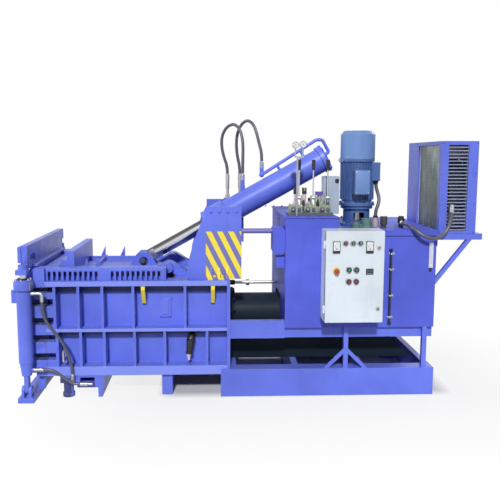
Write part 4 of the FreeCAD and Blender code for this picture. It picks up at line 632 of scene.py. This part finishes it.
LOOKS = (
    # painted shade: these parts are near black to stand for the shade they sit in
    (dark, "thrust_frame main_cylinder comb_bolts"),
    (motor_shaded, "motor_body bell_housing"),
    (motor_blue, "fan_cover"),
    (cream, "panel_case panel_door"),
    (box_grey, "isolator_box"),
    (chrome, "lid_rod"),
    (zinc, "hose_fittings"),
    (green_cast, "valve_bank"),
    (pump_cast, "suction_block"),
    (lever_steel, "lever_1 lever_2 lever_3"),
    (red, "e_stop"),
    (black, "button_green_left button_green_right button_red_left button_red_right "
            "cooler_fan panel_trim"),
    (violet, "relief_knob"),
    (core_metal, "cooler_core"),
    (bright, "motor_rotor gauges"),
    (fittings, "tank_fittings"),
    (worn_steel, "chamber_floor"),
    (bright_pipe, "pressure_pipe"),
    (blue_tank, "tank cabinet"),
    (blue_tower, "tower_plates"),
    (blue_wall, "side_near"),
    (blue_far, "side_far"),
    (blue_barrel, "lid_barrel"),
    (blue_guide, "door_guides"),
    (blue_under, "under_frame"),
    (blue_door, "door_plate"),
    (blue_cylinder, "door_cylinders"),
    (blue_ram, "ram_platen"),
    (blue_cooler, "cooler_frame"),
    (slat_metal, "cooler_grille"),
)
LOOK = {name: mat for mat, names in LOOKS for name in names.split()}
for name, ob in NODES.items():
    ob.data.materials.clear()
    ob.data.materials.append(LOOK.get(name, blue))

# ---- free hoses
ROUTES = {
    "hose_door_upper": [
        (-1714, -720, 958), (-1714, -720, 885), (-1698, -720, 805), (-1658, -720, 728),
        (-1604, -718, 656), (-1552, -712, 584), (-1514, -703, 506), (-1490, -692, 424),
        (-1474, -682, 344), (-1464, -676, 290), (-1464, -676, 240),
    ],
    "hose_door_lower": [
        (-1722, -720, 304), (-1668, -720, 304), (-1618, -720, 287), (-1572, -720, 254),
        (-1526, -720, 216), (-1478, -720, 182), (-1430, -720, 160), (-1382, -720, 160),
    ],
    "hose_cooler": [
        (1722, -474, 1655), (1722, -550, 1655), (1738, -628, 1650), (1768, -694, 1622),
        (1818, -730, 1578), (1882, -744, 1546), (1952, -742, 1536), (2018, -730, 1560),
        (2068, -714, 1608), (2100, -704, 1668), (2112, -700, 1730), (2112, -700, 1780),
    ],
    "motor_conduit": [
        (1506, -262, 2056), (1506, -262, 1998), (1526, -280, 1932), (1534, -300, 1874),
        (1519, -318, 1820), (1493, -330, 1761), (1493, -330, 1697),
    ],
    "hose_lid_a": [
        (37, 240, 2104), (37, 240, 2190), (0, 235, 2290), (-26, 226, 2400),
        (-24, 212, 2510), (22, 172, 2604), (98, 108, 2640), (162, 54, 2584),
        (186, 24, 2484), (192, 10, 2388), (190, 2, 2294), (188, 0, 2202),
        (188, 0, 2112),
    ],
    "hose_lid_b": [
        (169, 240, 2104), (169, 240, 2190), (142, 234, 2300), (130, 224, 2420),
        (138, 208, 2540), (182, 172, 2640), (246, 114, 2678), (306, 66, 2626),
        (336, 36, 2530), (358, 18, 2430), (384, 0, 2336), (384, 0, 2236),
    ],
}
HOSE_R = {"hose_door_upper": 14.0, "hose_door_lower": 14.0, "hose_cooler": 16.5, "motor_conduit": 17.0,
          "hose_lid_a": 16.0, "hose_lid_b": 16.0}
CRIMPED_HOSES = ("hose_door_upper", "hose_door_lower", "hose_cooler")
FRAME_HOSES = CRIMPED_HOSES + ("motor_conduit",)
LID_HOSES = ("hose_lid_a", "hose_lid_b")
SLEEVE_UP = Vector((0, 0, 10))    # how far the lid hoses' sleeves reach past their ends


def route_curve(name):
    """A hose as a smooth spline with the route's points as its controls."""
    cu = bpy.data.curves.new(name, "CURVE")
    cu.dimensions = "3D"
    sp = cu.splines.new("NURBS")
    sp.points.add(len(ROUTES[name]) - 1)
    for point, q in zip(sp.points, ROUTES[name]):
        point.co = (*P(*q), 1.0)
    sp.order_u = 3
    sp.use_endpoint_u = True
    cu.resolution_u = 12
    cu.bevel_depth = HOSE_R[name] / 1000
    cu.bevel_resolution = 6
    ob = bpy.data.objects.new(name + "_cover", cu)
    S.collection.objects.link(ob)
    cu.materials.append(rubber)
    return ob


def spline_length(ob):
    """Length of the hose's own line."""
    cu = ob.data.copy()
    cu.bevel_depth = 0.0
    line = bpy.data.objects.new("line", cu)
    me = bpy.data.meshes.new_from_object(line)
    n = sum((me.vertices[e.vertices[0]].co - me.vertices[e.vertices[1]].co).length for e in me.edges)
    bpy.data.objects.remove(line)
    return n


def fixed_hoses():
    """The hoses and the conduit that stay with the frame."""
    for name in FRAME_HOSES:
        hose = route_curve(name)
        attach(hose, "frame")
        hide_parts(name)
        spline_length(hose)


def lid_hoses():
    """The two hoses to the lid's cylinder, made into plain meshes from their curves."""
    for name in LID_HOSES:
        line = route_curve(name)
        me = bpy.data.meshes.new_from_object(line)
        bpy.data.objects.remove(line)
        ob = bpy.data.objects.new(name + "_cover", me)
        S.collection.objects.link(ob)
        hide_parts(name)
        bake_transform(ob)


fixed_hoses()
lid_hoses()


def crimp(form, end, axis, hose_r):
    """Ridged sleeve pressed over a hose's end."""
    ridges, pitch = 5, 13.0
    r = hose_r + 6.0
    profile = [(hose_r - 1, -4), (r - 3, 0)]
    for k in range(ridges):
        h = 4 + pitch * k
        profile += [(r, h), (r, h + 8), (r - 2.5, h + 9), (r - 2.5, h + 12)]
    profile += [(r - 1, 72), (hose_r - 1, 74)]
    return form.turned(end, axis, profile, 28)


def hose_ends():
    """Crimped sleeves, on the frame and on the lid's cylinder."""
    sleeves, upper = Form(), Form()
    for name in CRIMPED_HOSES:
        a, b, y, z = [Vector(ROUTES[name][k]) for k in (0, 1, -2, -1)]
        crimp(sleeves, a, a - b, HOSE_R[name])
        crimp(sleeves, z, z - y, HOSE_R[name])
    for name in LID_HOSES:
        for form, end in ((sleeves, 0), (upper, -1)):
            crimp(form, Vector(ROUTES[name][end]) + SLEEVE_UP, (0, 0, -1), HOSE_R[name])
    sleeves.done("hose_sleeves", zinc, "zinc")
    upper.done("lid_hose_sleeves", zinc, "zinc", "lid_barrel")


hose_ends()


# ---- lid cylinder
LCYL_R, LCYL_FRONT, LCYL_REAR, LROD_R = 125.0, 175.0, 1240.0, 65.0
AXIS = Vector((TRUN_X - LUG_X, 0.0, TRUN_Z - LUG_Z)).normalized()


def axis_point(t, r=0.0, turn=0.0):
    """A point t along the lid cylinder from its trunnion and r out, turned from the top."""
    up = Vector((-AXIS.z, 0.0, AXIS.x))
    out = up * math.cos(turn) + Vector(BACK) * math.sin(turn)
    return Vector((TRUN_X, 0.0, TRUN_Z)) + AXIS * t + out * r


def lid_cylinder():
    """Rear nuts, gland screws and the wiper round the rod."""
    nuts = Form()
    for turn in turns(10):
        nuts.bolt(axis_point(LCYL_REAR - 22, LCYL_R, turn), AXIS, 34, 18)
    nuts.done("cylinder_rear_nuts", blue, "paint", "lid_barrel")
    screws = Form()
    for turn in turns(8, 0.5):
        p = axis_point(-LCYL_FRONT, 106, turn)
        screws.rod(p, p - AXIS * 9, 10, segs=14, soft=1.5)
    screws.done("gland_screws", bright, "steel", "lid_barrel")
    wiper = Form().ring(axis_point(-LCYL_FRONT), -AXIS, 80, LROD_R + 1, 7)
    wiper.done("lid_rod_wiper", black, "black_plastic", "lid_barrel")


lid_cylinder()


# ---- door cylinders and side wall
def door_cylinder_ends():
    """A wiper on top of each lifting cylinder."""
    for side, name in ((-1, "near"), (1, "far")):
        top = (DCYL_X, side * DCYL_Y, DCYL_TOP + 4)
        wiper = Form().ring(top, UP, 50, DROD_R + 1.5, 12, 3)
        wiper.done("door_rod_wiper_" + name, black, "black_plastic")


OUTLET_X, OUTLET_Y, OUTLET_Z = -325, -523, 586    # front of the outlet's flange


def wall_outlet():
    """Bent black outlet on the near wall, with a pale nipple."""
    stub = Form().rod((OUTLET_X, -WALL_OUT + 1, OUTLET_Z), (OUTLET_X, OUTLET_Y, OUTLET_Z), 46, soft=2)
    for a in turns(4, 0.5):
        head = (OUTLET_X + 38 * math.cos(a), OUTLET_Y, OUTLET_Z + 36 * math.sin(a))
        stub.bolt(head, FRONT, 11, 6)
    stub.rod((OUTLET_X, OUTLET_Y + 3, OUTLET_Z), (-331, -568, 572), 30)
    stub.rod((-331, -568, 576), (-342, -596, 538), 36, soft=1)
    stub.rod((-342, -596, 548), (-354, -602, 425), 38, 29, soft=2)
    stub.ring((-354, -602, 430), (-0.1, -0.04, -0.99), 34, 8, 20, 3)
    stub.done("wall_outlet", black, "black_plastic")
    nipple = Form().rod((-356, -602, 415), (-361, -603, 386), 22, 20)
    nipple.rod((-361, -603, 392), (-357, -603, 346), 14, soft=1)
    nipple.done("outlet_nipple", pale, "zinc")


door_cylinder_ends()
wall_outlet()


# ---- control panel
PANEL_X, PANEL_Z, PANEL_W, PANEL_H, DOOR_Y = 902.0, 779.0, 536.0, 850.0, -884.0
METER_ROW, LAMP_ROW = 0.825, 0.868
METER_X, METER_Z, PIVOT = 29, 49, 14    # half sizes of a meter, pivot below its middle
GLAND_Y, SEAL_Y = -760.0, (-864.5, -861.0)


def on_panel(u, v):
    """A place on the panel's front, u and v running from 0 to 1."""
    return PANEL_X + u * PANEL_W, PANEL_Z + v * PANEL_H


def meters():
    """Dials of the two meters, with ticks, needle, hub and lower cover."""
    faces, marks = Form(), Form()
    front = DOOR_Y - 12
    for u in (0.179, 0.746):
        x, z = on_panel(u, METER_ROW)
        hub = z - PIVOT
        wide = (x - METER_X, x + METER_X)
        faces.block(wide, (front - 1.6, front + 1), (z - METER_Z, z + METER_Z), 0.8)
        for k in range(9):
            a = math.radians(130 - 10 * k)
            p = Vector((x + 40 * math.cos(a), front - 1.6, hub + 40 * math.sin(a)))
            out = Vector((math.cos(a), 0, math.sin(a)))
            marks.rod(p, p + out * (7 if k % 4 == 0 else 4), 0.9, segs=6)
        marks.rod((x, front - 3, hub), (x - 22, front - 3, z + 18), 1.1, segs=6)
        marks.rod((x, front - 1, hub), (x, front - 5, hub), 5, segs=16)
        marks.block(wide, (front - 3.5, front - 1), (z - METER_Z, z - 30), 0.8)
    faces.done("meter_dials", white, "off_white", "panel_door")
    marks.done("meter_marks", black, "black_plastic", "panel_door")


def pilot_lamps():
    """Domed lenses in bright rings."""
    dome = [(0, 7), (5, 6.4), (9, 4.4), (11.6, 1.6), (12, 0), (12, -1), (0, -1)]
    for u, name, mat in ((0.334, "red", dull_red), (0.463, "green", green), (0.586, "cyan", cyan)):
        x, z = on_panel(u, LAMP_ROW)
        lens = Form().turned((x, DOOR_Y - 24, z), FRONT, dome, 28)
        lens.done("lamp_lens_" + name, mat, "panel_parts", "panel_door")
        bezel = Form().ring((x, DOOR_Y, z), FRONT, 29, 14, 7, 2)
        bezel.done("lamp_bezel_" + name, bright, "steel", "panel_door")


def push_buttons():
    """Coloured inserts and rings of the four buttons, and the plate behind the emergency stop."""
    cap = [(0, 3.2), (9, 2.6), (12.6, 1.2), (13.4, 0), (13.4, -1), (0, -1)]
    for colour, mat in (("green", green), ("red", dull_red)):
        for name in (colour + "_left", colour + "_right"):
            x, y, z = front_of("button_" + name)
            insert = Form().turned((x, y, z), FRONT, cap, 28)
            insert.done("insert_" + name, mat, colour + "_plastic", "button_" + name)
            bezel = Form().ring((x, DOOR_Y, z), FRONT, 29.5, 23.2, 6, 2)
            bezel.done("bezel_" + name, bright, "steel", "panel_door")
    x, _, z = front_of("e_stop")
    plate = Form().ring((x, DOOR_Y, z), FRONT, 34, 16, 3, 1, 48)
    plate.done("stop_plate", yellow_ring, "panel_parts", "panel_door")


def display():
    """Two windows and four keys."""
    x, z = on_panel(0.754, 0.561)
    window = Form()
    for k in (-1, 1):
        mid = x + k * 15
        window.block((mid - 12, mid + 12), (DOOR_Y - 9.5, DOOR_Y - 7), (z - 4, z + 18), 0.8)
    window.done("display_windows", lcd, "panel_parts", "panel_door")
    keys = Form()
    for k in range(4):
        key_x = x - 21 + 14 * k
        keys.rod((key_x, DOOR_Y - 7, z - 16), (key_x, DOOR_Y - 11, z - 16), 4, segs=14, soft=0.8)
    keys.done("display_keys", shroud_grey, "panel_parts", "panel_door")


def door_locks():
    """Slotted faces of the panel's two locks."""
    slots = Form()
    for u, v in ((0.907, 0.819), (0.91, 0.153)):
        x, z = on_panel(u, v)
        slots.ring((x, DOOR_Y - 6, z), FRONT, 19, 9, 5, 1.5)
        slots.block((x - 2.5, x + 2.5), (DOOR_Y - 11, DOOR_Y - 7), (z - 10, z + 10), 0.8)
    slots.done("door_locks", zinc, "zinc", "panel_door")


def glands_and_seal():
    """Cable glands under the case, and the seal between case and door."""
    glands = Form()
    for x in [PANEL_X + 56 * k for k in (1, 2, 3, 4)]:
        glands.rod((x, GLAND_Y, PANEL_Z + 2), (x, GLAND_Y, PANEL_Z - 10), 21, segs=6, soft=1.5)
        glands.rod((x, GLAND_Y, PANEL_Z - 8), (x, GLAND_Y, PANEL_Z - 34), 15, 12, soft=2)
    glands.done("panel_glands", black, "black_plastic")
    seal = Form()
    left, right, foot, top = PANEL_X - 4, PANEL_X + PANEL_W, PANEL_Z + 4, PANEL_Z + PANEL_H - 4
    for x in (left, right - 6):
        seal.block((x, x + 6), SEAL_Y, (foot, top), 0)
    for z in (foot, top - 6):
        seal.block((left + 2, right - 2), SEAL_Y, (z, z + 6), 0)
    seal.done("door_seal", black, "rubber")


meters()
pilot_lamps()
push_buttons()
display()
door_locks()
glands_and_seal()


# ---- valves and gauges
VALVES, VALVE_Y, SEAT_Z, COIL_Z = (712.0, 851.5, 991.0), -430.0, 1830.0, 1934.0
GAUGES, GAUGE_Y = ((659.0, 2406.0), (730.0, 2412.0)), -565.0
CAPS = ((689, -378, 17), (771.5, -388, 14), (828, -376, 16))    # x, y and radius on the valves' top
COILS = ((689, -376), (771.5, -385))


def gauge_dials():
    """Faces, rims, ticks and needles of the two pressure gauges."""
    faces, marks, rims = Form(), Form(), Form()
    for x, z in GAUGES:
        faces.rod((x, GAUGE_Y + 2, z), (x, GAUGE_Y, z), 26.5, segs=36)
        rims.ring((x, GAUGE_Y + 9, z), FRONT, 33.5, 26, 11, 2.5, 44)
        for k in range(11):
            a = math.radians(225 - 27 * k)
            out = Vector((math.cos(a), 0, math.sin(a)))
            p = Vector((x, GAUGE_Y - 0.2, z)) + out * 19
            marks.rod(p, p + out * 4.5, 0.7, segs=6)
        marks.rod((x + 5, GAUGE_Y - 1, z + 4), (x - 15, GAUGE_Y - 1, z - 10), 0.9, segs=6)
        marks.rod((x, GAUGE_Y + 1, z), (x, GAUGE_Y - 2, z), 3.2, segs=14)
    faces.done("gauge_faces", white, "off_white")
    rims.done("gauge_rims", zinc, "zinc")
    marks.done("gauge_marks", black, "black_plastic")


def valve_hardware():
    """Bolts, collars under the caps, and coils."""
    heads, collars, coils = Form(), Form(), Form()
    for x in VALVES:
        for dx, dy in ((-80, -44), (-80, 62), (-40, -44)):
            heads.bolt((x + dx, VALVE_Y + dy, SEAT_Z), UP, 15, 8)
        plug = (x - 62, VALVE_Y - 96, SEAT_Z - 34)
        heads.rod(plug, Vector(plug) + 8 * Vector(FRONT), 7, segs=16, soft=1)
    for x, y, r in CAPS:
        collars.ring((x, y, SEAT_Z), UP, r + 13, r + 0.5, 22, 3)
        collars.rod((x, y, SEAT_Z + 21), (x, y, SEAT_Z + 34), r + 8, segs=6, soft=1.5)
    for x, y in COILS:
        coils.block((x - 21, x + 21), (y - 21, y + 21), (COIL_Z, COIL_Z + 63), 5)
        collars.rod((x, y - 2, COIL_Z - 70), (x, y - 2, COIL_Z), 19, segs=24, soft=1.5)
    for x in (752, 892):
        y = VALVE_Y - 36
        coils.block((x - 13, x + 13), (y - 16, y + 16), (SEAT_Z - 1, SEAT_Z + 42), 4)
        coils.rod((x, y, SEAT_Z + 40), (x, y, SEAT_Z + 54), 9, segs=16, soft=1.5)
    heads.done("valve_bolts", bright, "steel")
    collars.done("cap_collars", pale, "zinc")
    coils.done("valve_coils", black, "black_plastic")


gauge_dials()
valve_hardware()


# ---- motor and tank
MOTOR, EYE_TURN = (1330.0, -200.0), 3.5
BOX_FRONT, BOX_SIDE = -468, 1536    # the terminal boxes' outer faces
TANK_LID, CABINET_TOP, TANK_END, COVER_Y, HATCH_Z = 1607, 1734, 2000, 662, 1010
DRAIN_Y, DRAIN_Z, TUBE_X, TUBE_Y, CLIP_Y = 420, 740, 1565, -662, -654


def around(r, z, turn):
    """A point r from the motor's axis."""
    return (MOTOR[0] + r * math.cos(turn), MOTOR[1] + r * math.sin(turn), z)


def terminal_covers():
    """Covers of the motor's two terminal boxes, their screws and those of the fan cover."""
    cover = Form().block((1253, 1393), (BOX_FRONT, BOX_FRONT + 8), (1936, 2163), 3)
    cover.block((BOX_SIDE - 7, BOX_SIDE), (-306, -194), (2061, 2237), 3)
    cover.done("terminal_covers", motor_blue, "motor_paint")
    small = Form()
    small.bolts((1264, 1382), [BOX_FRONT], (1948, 2151), FRONT, 9, 5)
    small.bolts([BOX_SIDE], (-298, -202), (2070, 2228), RIGHT, 9, 5)
    for turn in turns(4, 0.5):
        small.bolt(around(169, 2292, turn), (math.cos(turn), math.sin(turn), 0), 12, 5)
    small.done("motor_screws", zinc, "zinc")


def flange_bolts():
    """Bolts round the motor's flange and its end shield."""
    big = Form()
    for turn in turns(8, 0.5):
        big.bolt(around(146, 1633, turn), UP, 20, 12)
        big.bolt(around(164, 1840, turn), UP, 17, 10)
    big.done("motor_flange_bolts", motor_blue, "motor_paint")


def lifting_eye():
    """Screwed eye on the side of the motor."""
    eye = Form().rod(around(152, 2260, EYE_TURN), around(176, 2264, EYE_TURN), 13)
    bow = [(20 + 6 * math.cos(a * math.tau / 12), 6 * math.sin(a * math.tau / 12)) for a in range(13)]
    eye.turned(around(194, 2264, EYE_TURN), (math.sin(EYE_TURN), -math.cos(EYE_TURN), 0), bow, 24)
    eye.done("motor_lifting_eye", motor_blue, "motor_paint")


def conduit_nuts():
    """Nuts at both ends of the motor's conduit, and a cable gland."""
    nuts = Form()
    x, y, z = ROUTES["motor_conduit"][0]
    nuts.rod((x, y, z + 1), (x, y, z - 16), 25, segs=6, soft=2)
    nuts.rod((x, y, z - 14), (x, y, z - 34), 21, 18.5, segs=24, soft=1)
    x, y, z = ROUTES["motor_conduit"][-1]
    nuts.rod((x, y, z - 1), (x, y, z + 19), 25, segs=6, soft=2)
    nuts.rod((1323, -424, 1930), (1323, -424, 1912), 19, segs=6, soft=2)
    nuts.done("conduit_nuts", black, "black_plastic")


def lid_bolts():
    """Bolts along the tops of the tank and the cabinet."""
    heads = Form()
    heads.bolts([1100 + 128 * k for k in range(7)], (-622, 622), [TANK_LID])
    heads.bolts([1985], [-470 + 188 * k for k in range(6)], [TANK_LID])
    heads.bolts([484 + 92 * k for k in range(6)], (-634, 634), [CABINET_TOP], UP, 16, 8)
    heads.done("tank_lid_bolts", blue_tank, "paint")


def tank_covers():
    """Long cover on the far side and round hatch on the end, both bolted."""
    cover = Form().block((1290, 1770), (COVER_Y - 14, COVER_Y), (900, 1290), 3)
    cover.ring((TANK_END, 0, HATCH_Z), RIGHT, 176, 0.5, 16, 3, 64)
    for a in turns(12):
        cover.bolt((TANK_END + 16, 154 * math.cos(a), HATCH_Z + 154 * math.sin(a)), RIGHT, 20, 11)
    cover.bolts([1315 + 86 * k for k in range(6)], [COVER_Y], (926, 1264), BACK)
    cover.bolts((1315, 1745), [COVER_Y], (1010, 1095, 1180), BACK)
    cover.done("tank_covers", blue_tank, "paint")


def drain_valve():
    """Ball valve low on the tank's end, with its red handle."""
    drain = Form()
    for start, end, r, segs, soft in ((0, 40, 20, 24, 0), (36, 88, 27, 6, 2), (84, 110, 17, 24, 2)):
        drain.rod((TANK_END + start, DRAIN_Y, DRAIN_Z), (TANK_END + end, DRAIN_Y, DRAIN_Z), r,
                  segs=segs, soft=soft)
    drain.rod((TANK_END + 62, DRAIN_Y, DRAIN_Z), (TANK_END + 62, DRAIN_Y, DRAIN_Z + 38), 8)
    drain.done("drain_valve", zinc, "zinc")
    handle = Form().block((TANK_END + 50, TANK_END + 150), (DRAIN_Y - 10, DRAIN_Y + 10),
                          (DRAIN_Z + 36, DRAIN_Z + 44), 3)
    handle.done("drain_handle", red, "red_plastic")


def wiring_tube():
    """Black tube down the tank's front, in clips."""
    tube = Form().rod((TUBE_X, TUBE_Y, 1404), (TUBE_X, TUBE_Y, 706), 11, segs=20)
    tube.rod((TUBE_X, -OUT_Y, 1420), (TUBE_X, TUBE_Y, 1404), 12)
    tube.rod((TUBE_X, -648, 1423), (TUBE_X, -657, 1411), 19, segs=6, soft=1)
    tube.rod((TUBE_X, TUBE_Y, 726), (TUBE_X, TUBE_Y, 700), 18, segs=6, soft=2)
    tube.done("tank_wiring_tube", black, "black_plastic")
    clips = Form()
    for z in (1384, 1232, 980, 770):
        clips.block((TUBE_X - 18, TUBE_X + 35), (CLIP_Y, -OUT_Y), (z - 9, z + 9), 1)
        clips.ring((TUBE_X, TUBE_Y, z - 8), UP, 14.5, 11.2, 16, 1)
        clips.bolt((TUBE_X + 24, CLIP_Y, z), FRONT, 9, 5)
    clips.done("wiring_clips", zinc, "zinc")


def level_gauge():
    """Glass and lower plug of the level gauge."""
    sight = Form().block((1939, 1957), (-669, -664), (1276, 1460), 2)
    sight.done("level_glass", glass, "off_white")
    plug = Form().rod((1948, -648, 1230), (1948, -674, 1230), 13, segs=6, soft=1.5)
    plug.done("level_plug", black, "black_plastic")


terminal_covers()
flange_bolts()
lifting_eye()
conduit_nuts()
lid_bolts()
tank_covers()
drain_valve()
wiring_tube()
level_gauge()


# ---- cooler
SHROUD_AT, SHROUD_R = (2186, -170, 2000), 275
COOLER_NEAR, COOLER_FAR, COOLER_END = -650, 320, 2366


def cooler_hardware():
    """Round shroud of the fan, and the casing's screws."""
    wall = Form().ring(SHROUD_AT, RIGHT, SHROUD_R, SHROUD_R - 3.5, 158, 1, 96)
    wall.done("fan_shroud", shroud_grey, "paint_dark")
    heads = Form()
    for y, axis in ((COOLER_NEAR, FRONT), (COOLER_FAR, BACK)):
        heads.bolts((2027, 2348), [y], (1584, 1860, 2140, 2428), axis, 11, 6)
    heads.bolts([COOLER_END], (-560, 232), (1640, 2000, 2360), RIGHT, 11, 6)
    heads.done("cooler_screws", blue_cooler, "paint")


cooler_hardware()


# ---- stage and light
GREY_PATCH = ((-0.2, 1.3), (0.0, 0.55))    # its middle and half size along X and Y


def stage_finish(name, col):
    """Pale floor that turns plain white away from the object, for the eye and for reflections."""
    n = Finish(name)
    n.tone = n.mix(n.times(n.noise(0.8, 3.0), 0.04), col, shade(col, 0.94))
    n.rough = 0.75
    n.finish()
    x, y, _ = n.axes()
    past = []
    for v, (middle, half) in zip((x, y), GREY_PATCH):
        aside = n.math("ABSOLUTE", n.math("SUBTRACT", v, middle))
        past.append(n.math("MAXIMUM", n.math("SUBTRACT", aside, half), 0.0))
    off = n.math("SQRT", n.math("ADD", n.times(past[0], past[0]), n.times(past[1], past[1])))
    far = n.math("ADD", n.ramp(off, 0.0, 0.16, 0.0, 0.8), n.ramp(off, 0.3, 1.6, 0.0, 0.2))
    ray = n.node("LightPath").outputs
    bounced = n.math("MAXIMUM", ray["Is Glossy Ray"], ray["Is Transmission Ray"])
    seen = n.math("MAXIMUM", ray["Is Camera Ray"], bounced)
    glow = n.node("Emission")
    mixer = n.node("MixShader")
    for a, b in ((n.times(far, seen), mixer.inputs[0]), (n.bsdf.outputs[0], mixer.inputs[1]),
                 (glow.outputs[0], mixer.inputs[2]), (mixer.outputs[0], n.out.inputs[0])):
        n.t.links.new(a, b)
    return n.mat


def stage_floor():
    """Floor a little below the feet."""
    bm = bmesh.new()
    bmesh.ops.create_grid(bm, x_segments=1, y_segments=1, size=25.0)
    me = bpy.data.meshes.new("floor")
    bm.to_mesh(me)
    bm.free()
    floor = bpy.data.objects.new("floor", me)
    S.collection.objects.link(floor)
    floor.location = (0, 0, -0.001)
    me.materials.append(stage_finish("floor_paint", (0.62, 0.62, 0.63)))


def stage_world(strength):
    """Soft light all round, seen by the eye and in reflections as white."""
    world = bpy.data.worlds.new("studio")
    S.world = world
    world.use_nodes = True
    t = world.node_tree
    fill = t.nodes["Background"]
    fill.inputs[0].default_value = (0.92, 0.94, 1.0, 1)
    fill.inputs[1].default_value = strength
    ray = t.nodes.new("ShaderNodeLightPath").outputs
    plain = t.nodes.new("ShaderNodeBackground")
    plain.inputs[0].default_value = (1, 1, 1, 1)
    seen, direct = [t.nodes.new("ShaderNodeMath") for _ in range(2)]
    seen.operation = direct.operation = "MAXIMUM"
    mixer = t.nodes.new("ShaderNodeMixShader")
    for a, b in ((ray["Is Camera Ray"], direct.inputs[0]),
                 (ray["Is Transmission Ray"], direct.inputs[1]),
                 (direct.outputs[0], seen.inputs[0]), (ray["Is Glossy Ray"], seen.inputs[1]),
                 (seen.outputs[0], mixer.inputs[0]), (fill.outputs[0], mixer.inputs[1]),
                 (plain.outputs[0], mixer.inputs[2]),
                 (mixer.outputs[0], t.nodes["World Output"].inputs[0])):
        t.links.new(a, b)


def lamp(name, kind, loc, target, power, **size):
    """A lamp that looks at the target."""
    li = bpy.data.lights.new(name, kind)
    li.energy = power
    for k, v in size.items():
        setattr(li, k, v)
    ob = bpy.data.objects.new(name, li)
    S.collection.objects.link(ob)
    ob.location = loc
    ob.rotation_euler = (Vector(target) - Vector(loc)).to_track_quat("-Z", "Y").to_euler()


stage_floor()
stage_world(0.13)
lamp("key", "SUN", (-1.2, -8.0, 6.0), (-0.4, 0, 0.2), 3.1, angle=math.radians(5))
lamp("side", "SUN", (-9.0, 0.4, 3.6), (0, 0, 0.2), 1.1, angle=math.radians(12))
lamp("back", "SUN", (5.0, 6.5, 4.0), (0, 0, 0.2), 0.8, angle=math.radians(25))
